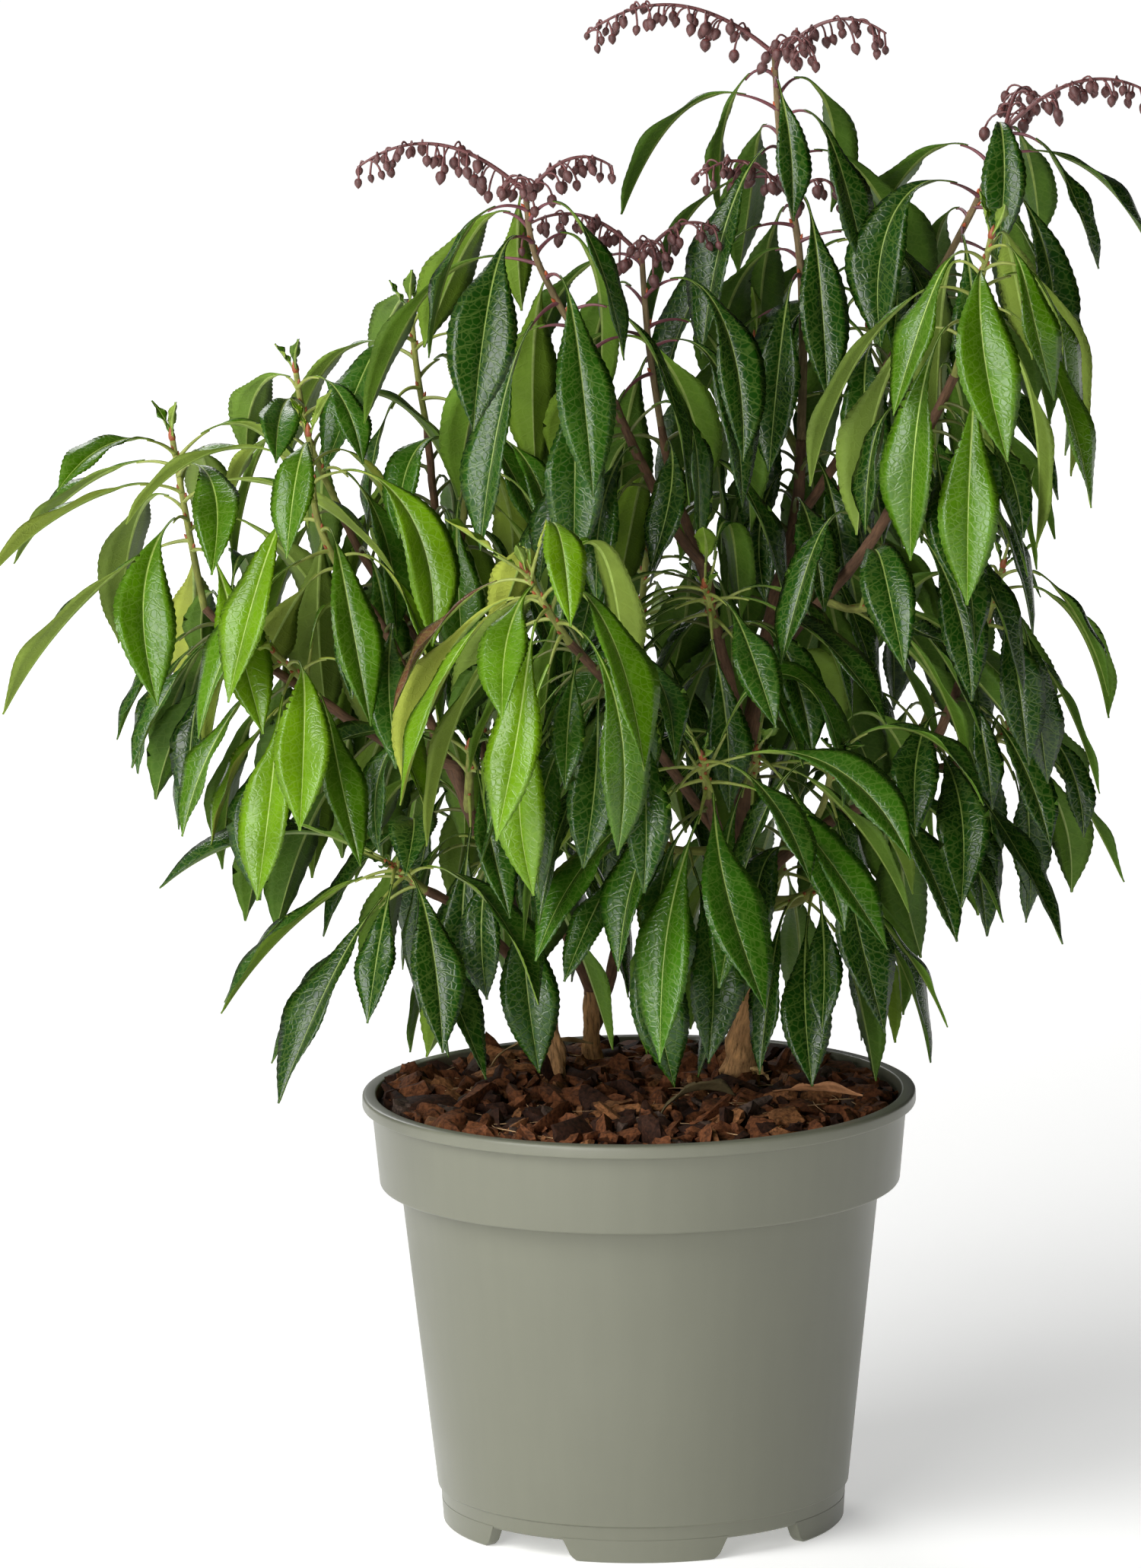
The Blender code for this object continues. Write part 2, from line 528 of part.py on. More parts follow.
def draw_leaf(shoot, stem, index, attempt, jitter):
    """The leaf of this index on its shoot, varied by seven numbers between -1 and 1."""
    share = (index + 0.5) / shoot.leaves
    young = index == 0 and not shoot.sprays
    place = 1 - shoot.spread * (BARE_TIP + (1 - BARE_TIP) * share ** CROWDING)
    root, ahead, radius = stem.at(place)
    bearing = math.radians(shoot.turn) + index * GOLDEN_ANGLE
    bearing += jitter[0] * (TURN_JITTER + TURN_SEARCH * attempt)
    out = np.array((math.cos(bearing), math.sin(bearing), 0.0))
    out = unit(out - ahead * np.dot(out, ahead))
    lift = math.radians((YOUNG_LIFT if young else TIP_LIFT + LIFT_GAIN * share) + LIFT_JITTER * jitter[1])
    first = ahead * math.cos(lift) + out * math.sin(lift)
    pull = unit(np.array((PULL_JITTER * jitter[2], PULL_JITTER * jitter[3], -1.0)) - INWARD_PULL * out)
    droop = shoot.droop * (DROOP_AT_TIP + DROOP_GAIN * share)
    droop = np.clip(droop + (DROOP_JITTER + DROOP_SEARCH * attempt) * jitter[4], *DROOP_LIMITS)
    age = min(1.0, TIP_LENGTH + LENGTH_GAIN * share)
    if young:
        droop *= YOUNG_DROOP
        age = YOUNG_LENGTH
    length = shoot.leaf_length * age * (1 + LENGTH_JITTER * jitter[5]) * (1 - LENGTH_LOSS * attempt)
    settle = SETTLE_SLOW + (SETTLE_QUICK - SETTLE_SLOW) * (jitter[6] + 1) / 2
    stalk = STALK_LENGTH + radius
    leaf = Leaf(root, first, pull, droop, length + STALK_LENGTH, stalk, settle, TWIST * jitter[2])
    return leaf, leaf.test_shape(CLEAR_OF_STEM * radius)


def grow_leaves(shoot, stem, space):
    """Leaves of one shoot: set round the stem by the golden angle, upright at the tip and hanging below."""
    random = np.random.RandomState(shoot.seed)
    leaves = []
    for index in range(shoot.leaves):
        for attempt in range(PLACING_TRIES):
            leaf, shape = draw_leaf(shoot, stem, index, attempt, random.uniform(-1, 1, 7))
            if space.free(*shape):
                space.add(*shape)
                leaves.append(leaf)
                break
    return leaves


def bud_spray(stem, azimuth, factor, place):
    """Arching flower stalk with a row of hanging buds, as a toothed three-sided solid."""
    out = np.array((math.cos(math.radians(azimuth)), math.sin(math.radians(azimuth)), 0.0))
    first = unit((0, 0, 1) + (SPRAY_RISE + SPRAY_REACH * factor) * out)
    pull = unit(SPRAY_PULL * out + (0, 0, -1))
    curve = Leaf(stem.at(place)[0], first, pull, SPRAY_DROOP, SPRAY_LENGTH * factor, 0, SPRAY_SETTLE)
    rings = []
    for k, s in enumerate(np.linspace(SPRAY_START, SPRAY_END, 2 * SPRAY_TEETH + 1)):
        centre, side, normal = curve.at(s if k else 0)
        bud = k % 2 == 1
        hang = BUD_HANG if bud else RACHIS_HANG
        half = BUD_HALF_WIDTH if bud else RACHIS_HALF_WIDTH
        if k < 2:
            hang *= BASE_BUD_SHARE
        down = np.array((0, 0, hang)) if bud or s > SPRAY_BARE else normal * RACHIS_HALF_WIDTH
        rings.append((centre + normal * SPRAY_TOP, centre - down - side * half, centre - down + side * half))
    return loft(rings, curve.points[-1])


def make_object(name, verts, faces):
    """A mesh object from vertices and faces, with its faces turned outwards."""
    mesh = bpy.data.meshes.new(name)
    mesh.from_pydata([tuple(v) for v in verts], [], [tuple(f) for f in faces])
    shape = bmesh.new()
    shape.from_mesh(mesh)
    bmesh.ops.recalc_face_normals(shape, faces=shape.faces)
    shape.to_mesh(mesh)
    shape.free()
    item = bpy.data.objects.new(name, mesh)
    bpy.context.scene.collection.objects.link(item)
    return item


def finish_look(item, color, roughness):
    """One material per object, named after it."""
    material = bpy.data.materials.new(item.name)
    material.use_nodes = True
    shader = material.node_tree.nodes["Principled BSDF"]
    shader.inputs["Base Color"].default_value = (*color, 1.0)
    shader.inputs["Roughness"].default_value = roughness
    shader.inputs["Metallic"].default_value = 0.0
    material.diffuse_color = (*color, 1.0)
    item.data.materials.clear()
    item.data.materials.append(material)


def join_solids(item, others, solver):
    """Joins the other objects to the first with one union on their collection, then removes them."""
    group = bpy.data.collections.new(item.name + "_pieces")
    bpy.context.scene.collection.children.link(group)
    for other in others:
        bpy.context.scene.collection.objects.unlink(other)
        group.objects.link(other)
    union = item.modifiers.new("union", "BOOLEAN")
    union.operation = "UNION"
    union.operand_type = "COLLECTION"
    union.collection = group
    union.solver = solver
    graph = bpy.context.evaluated_depsgraph_get()
    mesh = bpy.data.meshes.new_from_object(item.evaluated_get(graph))
    item.modifiers.clear()
    item.data = mesh
    for other in others:
        bpy.data.objects.remove(other)
    bpy.data.collections.remove(group)
    keep_largest(item)


def keep_largest(item):
    """Merges flat neighbours into as few triangles as they need, and drops any loose scrap."""
    shape = bmesh.new()
    shape.from_mesh(item.data)
    bmesh.ops.dissolve_limit(shape, angle_limit=FLAT_ANGLE, verts=shape.verts, edges=shape.edges)
    bmesh.ops.triangulate(shape, faces=shape.faces)
    left = set(shape.faces)
    bodies = []
    while left:
        body = []
        stack = [left.pop()]
        while stack:
            face = stack.pop()
            body.append(face)
            for edge in face.edges:
                near = left.intersection(edge.link_faces)
                left -= near
                stack += near
        bodies.append(body)
    bodies.sort(key=len)
    scraps = [face for body in bodies[:-1] for face in body]
    bmesh.ops.delete(shape, geom=scraps, context="FACES")
    shape.to_mesh(item.data)
    shape.free()


def turned(profile, segments):
    """Vertices and faces of a profile turned round Z; its two ends lie on the axis."""
    angle = np.arange(segments) * math.tau / segments
    verts = []
    rows = []
    for radius, height in profile:
        first = len(verts)
        if radius == 0:
            verts.append((0.0, 0.0, height))
            rows.append([first] * segments)
        else:
            verts += [(radius * math.cos(a), radius * math.sin(a), height) for a in angle]
            rows.append(list(range(first, first + segments)))
    faces = []
    for low, high in zip(rows[:-1], rows[1:]):
        for i in range(segments):
            j = (i + 1) % segments
            corners = list(dict.fromkeys((low[i], low[j], high[j], high[i])))
            faces.append(tuple(corners[:3]))
            if len(corners) == 4:
                faces.append((corners[0], corners[2], corners[3]))
    return verts, faces


def wall_radius(z):
    """Outer radius of the pot's wall at a height."""
    if z >= BAND_BOTTOM_Z:
        share = (z - BAND_BOTTOM_Z) / (POT_HEIGHT - BEAD_HEIGHT - BAND_BOTTOM_Z)
        return BAND_BOTTOM_RADIUS + (BAND_TOP_RADIUS - BAND_BOTTOM_RADIUS) * min(share, 1.0)
    return BASE_RADIUS + (SHOULDER_RADIUS - BASE_RADIUS) * (z - BASE_Z) / (SHOULDER_Z - BASE_Z)


def make_pot():
    """Thin tapering wall with a rim band and bead, a floor, arc-shaped feet and a flat pad below."""
    inner_floor = BASE_Z + FLOOR_THICKNESS
    ledge = BAND_BOTTOM_Z + WALL
    mid_radius = wall_radius(MID_Z)
    profile = (
        (0, BASE_Z), (BASE_RADIUS - CORNER, BASE_Z), (BASE_RADIUS, BASE_Z + CORNER),
        (mid_radius, MID_Z), (SHOULDER_RADIUS, SHOULDER_Z),
        (BAND_BOTTOM_RADIUS - CORNER, SHOULDER_Z + BEAD_EDGE), (BAND_BOTTOM_RADIUS, BAND_BOTTOM_Z),
        (BAND_TOP_RADIUS, POT_HEIGHT - BEAD_HEIGHT), (RIM_RADIUS, POT_HEIGHT - BEAD_HEIGHT + CORNER),
        (RIM_RADIUS, POT_HEIGHT - BEAD_EDGE), (RIM_RADIUS - CORNER, POT_HEIGHT),
        (BAND_TOP_RADIUS - WALL, POT_HEIGHT - BEAD_EDGE),
        (BAND_BOTTOM_RADIUS - WALL, ledge), (SHOULDER_RADIUS - WALL, ledge - BEAD_EDGE),
        (mid_radius - WALL, MID_Z), (BASE_RADIUS - WALL, inner_floor), (0, inner_floor),
    )
    pot = make_object("pot", *turned(profile, POT_SEGMENTS))
    pad_top = BASE_Z + CORNER
    pad = ((0, 0), (PAD_RADIUS - CORNER, 0), (PAD_RADIUS, CORNER), (PAD_RADIUS, pad_top), (0, pad_top))
    feet = [make_foot(i) for i in range(FOOT_COUNT)]
    feet.append(make_object("pad", *turned(pad, PAD_SEGMENTS)))
    join_solids(pot, feet, "EXACT")
    finish_look(pot, (0.27, 0.29, 0.225), 0.5)


def make_foot(index):
    """One foot: an arc of the wall carried down to the ground, narrower at its bottom."""
    middle = -math.pi / 2 + index * math.tau / FOOT_COUNT
    outer = BASE_RADIUS - FOOT_INSET
    inner = outer - FOOT_WIDTH
    rings = []
    for share in np.linspace(-1, 1, FOOT_SECTIONS):
        top = middle + share * FOOT_HALF_ANGLE
        low = middle + share * (FOOT_HALF_ANGLE - FOOT_TAPER)
        section = ((outer, BASE_Z + CORNER, top), (outer - FOOT_INSET, 0, low),
                   (inner, 0, low), (inner, BASE_Z + CORNER, top))
        rings.append([(r * math.cos(a), r * math.sin(a), z) for r, z, a in section])
    return make_object("foot", *loft(rings))


def make_root_ball():
    """Peat and bark that fill the pot, level in the middle and falling away a little at the wall."""
    bottom = BASE_Z + FLOOR_THICKNESS + CLEAR
    ledge = BAND_BOTTOM_Z + WALL + CLEAR
    gap = WALL + 2 * CLEAR
    edge_z = SOIL_Z - SOIL_EDGE_DROP
    edge = wall_radius(edge_z) - gap
    profile = (
        (0, bottom), (wall_radius(bottom) - gap, bottom), (SHOULDER_RADIUS - gap, SHOULDER_Z - CLEAR),
        (SHOULDER_RADIUS - gap, ledge), (BAND_BOTTOM_RADIUS - gap, ledge + CLEAR), (edge, edge_z),
        (edge - SOIL_EDGE_WIDTH, SOIL_Z - SOIL_EDGE_STEP), (SOIL_FLAT_RADIUS, SOIL_Z), (0, SOIL_Z),
    )
    ball = make_object("root_ball", *turned(profile, POT_SEGMENTS))
    finish_look(ball, (0.060, 0.028, 0.017), 0.9)


def grow():
    """Limbs, stems, leaves and bud sprays of the whole plant, each as plain arrays."""
    space = Space()
    axes = {}
    for limb in LIMBS:
        parent = axes.get(limb.parent)
        count, sides = (TRUNK_RINGS, TRUNK_SIDES) if parent is None else (2 + len(limb.path), LIMB_SIDES)
        axes[limb.name] = Axis(limb.path, limb.base_radius, limb.tip_radius, parent, count, sides, limb.flare)
    stems = {}
    for shoot in SHOOTS:
        parent = axes[shoot.parent]
        radius = parent.radii[-1] * STEM_SHARE
        stems[shoot.name] = Axis(shoot.path, radius, STEM_TIP_RADIUS, parent, STEM_RINGS, STEM_SIDES)
    for axis in list(axes.values()) + list(stems.values()):
        space.add(*axis.skin(LEAF_MARGIN))
    sprays = {}
    for shoot in SHOOTS:
        sprays[shoot.name] = [bud_spray(stems[shoot.name], *spray) for spray in shoot.sprays]
        for spray in sprays[shoot.name]:
            space.add(*spray)
    leaves = {shoot.name: grow_leaves(shoot, stems[shoot.name], space) for shoot in SHOOTS}
    return axes, stems, sprays, leaves


def make_plant():
    """Objects of the trunks, boughs and foliage."""
    axes, stems, sprays, leaves = grow()
    for limb in LIMBS:
        item = make_object(limb.name, *axes[limb.name].skin())
        finish_look(item, (0.20, 0.115, 0.062), 0.85)
    for shoot in SHOOTS:
        item = make_object(shoot.name, *stems[shoot.name].skin())
        others = [make_object("leaf", *leaf.solid()) for leaf in leaves[shoot.name]]
        others += [make_object("spray", *spray) for spray in sprays[shoot.name]]
        join_solids(item, others, "MANIFOLD")
        finish_look(item, TINTS[shoot.tint], 0.4)


def main():
    """Clears the scene and builds the plant in its pot."""
    for item in list(bpy.data.objects):
        bpy.data.objects.remove(item)
    make_pot()
    make_root_ball()
    make_plant()


if __name__ == "__main__":
    main()
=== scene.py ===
"""Looks of the potted pieris shrub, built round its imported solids.

Metres, +Z up, -Y is the front. The plant grows again by the rule of its solids: the same shoots, seeds and
order of draws, carried to serrated leaves, stalks, single buds, bark and mulch.
"""

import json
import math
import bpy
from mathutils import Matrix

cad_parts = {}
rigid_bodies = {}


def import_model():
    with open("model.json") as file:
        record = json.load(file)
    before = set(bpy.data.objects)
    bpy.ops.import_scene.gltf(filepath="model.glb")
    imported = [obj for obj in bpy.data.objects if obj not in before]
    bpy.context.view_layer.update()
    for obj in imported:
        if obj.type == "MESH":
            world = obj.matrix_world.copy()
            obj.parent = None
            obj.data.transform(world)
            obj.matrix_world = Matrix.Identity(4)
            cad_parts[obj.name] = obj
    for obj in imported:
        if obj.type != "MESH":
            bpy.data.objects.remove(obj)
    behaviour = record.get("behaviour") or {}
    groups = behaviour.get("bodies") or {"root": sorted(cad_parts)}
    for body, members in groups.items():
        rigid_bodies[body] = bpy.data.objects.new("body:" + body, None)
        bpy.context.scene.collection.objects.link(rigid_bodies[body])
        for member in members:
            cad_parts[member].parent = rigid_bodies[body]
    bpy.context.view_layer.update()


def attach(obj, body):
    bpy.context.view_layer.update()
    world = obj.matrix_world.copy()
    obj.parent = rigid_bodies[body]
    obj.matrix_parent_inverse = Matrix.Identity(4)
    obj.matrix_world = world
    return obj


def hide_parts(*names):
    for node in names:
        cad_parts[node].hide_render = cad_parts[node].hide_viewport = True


bl_info = {
    "name": "Potted pieris shrub",
    "version": (1, 0, 0),
    "blender": (4, 5, 0),
    "location": "3D View > Sidebar > Pieris",
    "description": "Builds the looks of a pieris shrub in a nursery pot",
    "category": "Add Mesh",
}

from collections import namedtuple
from functools import lru_cache

import bpy
import numpy as np
from bpy.props import FloatProperty, FloatVectorProperty, IntProperty, PointerProperty
from bpy.types import Operator, Panel, PropertyGroup
from mathutils import Matrix, Vector
from mathutils.bvhtree import BVHTree

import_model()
MM = 0.001
ROOT = "root"

# Pot, as in the solids
POT_HEIGHT = 0.150
RIM_RADIUS = 0.095
BEAD_HEIGHT = 0.0045
BEAD_EDGE = 0.0006
BAND_TOP_RADIUS = 0.0918
BAND_BOTTOM_RADIUS = 0.0893
BAND_BOTTOM_Z = 0.1200
SHOULDER_RADIUS = 0.0822
SHOULDER_Z = 0.1180
MID_Z = 0.062
BASE_RADIUS = 0.0702
BASE_Z = 0.0070
WALL = 0.0016
FLOOR_THICKNESS = 0.0024
CORNER = 0.0010
FOOT_COUNT = 5
FOOT_HALF_ANGLE = math.radians(24)
FOOT_TAPER = math.radians(2.5)
FOOT_INSET = 0.0006
FOOT_WIDTH = 0.0050
PAD_RADIUS = 0.0200
CLEAR = 0.0003
SOIL_Z = 0.1490

# The growth rule, as in the solids
SPLINE_STEPS = 8
PATH_POINTS = 200
PATH_KNOTS = 20
TRUNK_SIDES = 8
TRUNK_RINGS = 6
LIMB_SIDES = 5
STEM_SIDES = 3
STEM_RINGS = 5
STEM_TIP_RADIUS = 0.0010
STEM_SHARE = 0.9
FLARE_REACH = 0.005
LEAF_WIDTH_RATIO = 0.255
WIDEST_AT = 0.58
END_SHARPNESS = 1.15
FOLD = 0.30
LEAF_THICKNESS = 0.0009
STALK_LENGTH = 0.011
STALK_RADIUS = 0.0007
STALK_TOP = 0.6
LEAF_MARGIN = 0.0004
CURVE_STEPS = 24
BLADE_SECTIONS = (0.30, 0.68)
TEST_SECTIONS = (0.0, 0.14, 0.32, 0.52, 0.72, 0.88)
GOLDEN_ANGLE = math.radians(137.5)
PLACING_TRIES = 14
MULCH_HEADROOM = 0.006
BARE_TIP = 0.05
CROWDING = 1.25
TIP_LENGTH = 0.62
LENGTH_GAIN = 0.9
LENGTH_JITTER = 0.08
LENGTH_LOSS = 0.018
TURN_JITTER = 0.12
TURN_SEARCH = 0.05
TIP_LIFT = 42
LIFT_GAIN = 34
LIFT_JITTER = 10
PULL_JITTER = 0.12
INWARD_PULL = 0.12
DROOP_AT_TIP = 0.90
DROOP_GAIN = 0.14
DROOP_JITTER = 0.10
DROOP_SEARCH = 0.01
DROOP_LIMITS = (0.2, 0.97)
EARLY_BEND = 0.62
SETTLE_SLOW = 3.5
SETTLE_QUICK = 10.0
TWIST = 0.7
YOUNG_LENGTH = 0.42
YOUNG_LIFT = 10
YOUNG_DROOP = 0.35
CLEAR_OF_STEM = 2.2
SPRAY_LENGTH = 0.064
SPRAY_TEETH = 5
SPRAY_SETTLE = 1.3
SPRAY_DROOP = 0.62
SPRAY_RISE = 0.15
SPRAY_REACH = 0.65
SPRAY_PULL = 0.30
SPRAY_START = 0.10
SPRAY_END = 0.96
SPRAY_BARE = 0.20
SPRAY_TOP = 0.0008
BUD_HANG = 0.0075
BUD_HALF_WIDTH = 0.0028
BASE_BUD_SHARE = 0.7
RACHIS_HANG = 0.0012
RACHIS_HALF_WIDTH = 0.0007

Limb = namedtuple("Limb", "name parent path base_radius tip_radius flare")
Shoot = namedtuple("Shoot", "name parent path leaves leaf_length spread droop turn tint sprays seed")

# Each limb starts on its parent's axis and is cut back until it is clear of the parent's bark
LIMBS = (
    Limb("trunk_left", None,
         ((-0.0285, 0.0235, 0.140), (-0.029, 0.023, 0.160), (-0.033, 0.020, 0.177), (-0.037, 0.017, 0.192)),
         0.0034, 0.0027, 0.0010),
    Limb("trunk_middle", None,
         ((-0.0155, 0.0545, 0.140), (-0.016, 0.054, 0.157), (-0.016, 0.053, 0.174)),
         0.0029, 0.0025, 0.0007),
    Limb("trunk_right", None,
         ((0.034, 0.018, 0.140), (0.0355, 0.018, 0.162), (0.040, 0.016, 0.183), (0.039, 0.012, 0.209),
          (0.037, 0.008, 0.233)),
         0.0050, 0.0036, 0.0030),
    Limb("bough_left", "trunk_left",
         ((-0.037, 0.017, 0.192), (-0.046, 0.004, 0.222), (-0.056, -0.010, 0.247), (-0.061, -0.018, 0.266)),
         0.0025, 0.0021, 0.0),
    Limb("bough_far_left", "bough_left",
         ((-0.061, -0.018, 0.266), (-0.083, -0.014, 0.273), (-0.107, -0.008, 0.288), (-0.133, 0.000, 0.305),
          (-0.146, 0.004, 0.318)),
         0.0020, 0.0014, 0.0),
    Limb("bough_left_front", "bough_left",
         ((-0.055, -0.009, 0.245), (-0.070, -0.015, 0.282), (-0.086, -0.018, 0.316), (-0.095, -0.020, 0.328)),
         0.0018, 0.0015, 0.0),
    Limb("bough_low_left", "trunk_left",
         ((-0.0325, 0.0205, 0.178), (-0.046, 0.003, 0.199), (-0.060, -0.014, 0.216), (-0.072, -0.024, 0.225)),
         0.0019, 0.0016, 0.0),
    Limb("bough_back_left", "trunk_middle",
         ((-0.016, 0.053, 0.174), (-0.022, 0.050, 0.190), (-0.032, 0.046, 0.213), (-0.051, 0.040, 0.258),
          (-0.063, 0.038, 0.298), (-0.067, 0.038, 0.339), (-0.070, 0.040, 0.374)),
         0.0022, 0.0013, 0.0),
    Limb("bough_upper_left", "bough_back_left",
         ((-0.055, 0.040, 0.270), (-0.076, 0.032, 0.305), (-0.094, 0.026, 0.335), (-0.101, 0.024, 0.351)),
         0.0016, 0.0013, 0.0),
    Limb("bough_inner_left", "bough_back_left",
         ((-0.060, 0.0385, 0.285), (-0.061, 0.030, 0.306), (-0.060, 0.025, 0.325), (-0.058, 0.022, 0.343)),
         0.0015, 0.0013, 0.0),
    Limb("bough_back", "trunk_middle",
         ((-0.016, 0.0540, 0.158), (-0.009, 0.063, 0.176), (-0.002, 0.069, 0.220), (0.002, 0.072, 0.270)),
         0.0021, 0.0018, 0.0),
    Limb("bough_right_leader", "trunk_right",
         ((0.037, 0.008, 0.233), (0.037, 0.006, 0.252), (0.041, 0.008, 0.281), (0.045, 0.012, 0.301),
          (0.049, 0.016, 0.319), (0.056, 0.020, 0.345), (0.058, 0.022, 0.371)),
         0.0034, 0.0018, 0.0),
    Limb("bough_centre", "bough_right_leader",
         ((0.038, 0.006, 0.260), (0.034, -0.006, 0.285), (0.028, -0.013, 0.310), (0.024, -0.018, 0.334)),
         0.0023, 0.0020, 0.0),
    Limb("bough_front_bud", "bough_centre",
         ((0.024, -0.018, 0.334), (0.016, -0.020, 0.344), (0.001, -0.026, 0.375), (-0.006, -0.029, 0.392)),
         0.0019, 0.0015, 0.0),
    Limb("bough_mid_bud", "bough_centre",
         ((0.0265, -0.015, 0.319), (0.022, -0.006, 0.336), (0.014, -0.003, 0.359), (0.010, -0.003, 0.380)),
         0.0017, 0.0014, 0.0),
    Limb("bough_front", "trunk_right",
         ((0.038, 0.010, 0.222), (0.034, -0.010, 0.232), (0.028, -0.036, 0.244), (0.024, -0.056, 0.262)),
         0.0022, 0.0019, 0.0),
    Limb("bough_front_left", "bough_front",
         ((0.0285, -0.034, 0.2432), (0.009, -0.062, 0.276), (-0.009, -0.082, 0.304), (-0.022, -0.094, 0.321)),
         0.0018, 0.0015, 0.0),
    Limb("bough_right", "bough_right_leader",
         ((0.043, 0.010, 0.291), (0.053, 0.000, 0.307), (0.065, -0.012, 0.322), (0.082, -0.028, 0.346),
          (0.094, -0.038, 0.372), (0.108, -0.047, 0.402)),
         0.0022, 0.0016, 0.0),
    Limb("bough_far_right", "bough_right_leader",
         ((0.055, 0.019, 0.341), (0.072, 0.026, 0.366), (0.092, 0.030, 0.403), (0.107, 0.030, 0.429)),
         0.0017, 0.0014, 0.0),
    Limb("bough_low_right", "trunk_right",
         ((0.0385, 0.011, 0.217), (0.062, 0.010, 0.238), (0.085, 0.006, 0.250), (0.099, 0.000, 0.264),
          (0.108, -0.008, 0.285), (0.115, -0.012, 0.303)),
         0.0022, 0.0015, 0.0),
    Limb("bough_right_edge", "bough_low_right",
         ((0.094, 0.003, 0.257), (0.102, 0.006, 0.259), (0.110, 0.009, 0.260), (0.118, 0.011, 0.262)),
         0.0016, 0.0013, 0.0),
    Limb("bough_back_right", "bough_right_leader",
         ((0.044, 0.011, 0.297), (0.052, 0.030, 0.312), (0.066, 0.048, 0.335), (0.078, 0.058, 0.365),
          (0.082, 0.062, 0.392)),
         0.0018, 0.0014, 0.0),
)

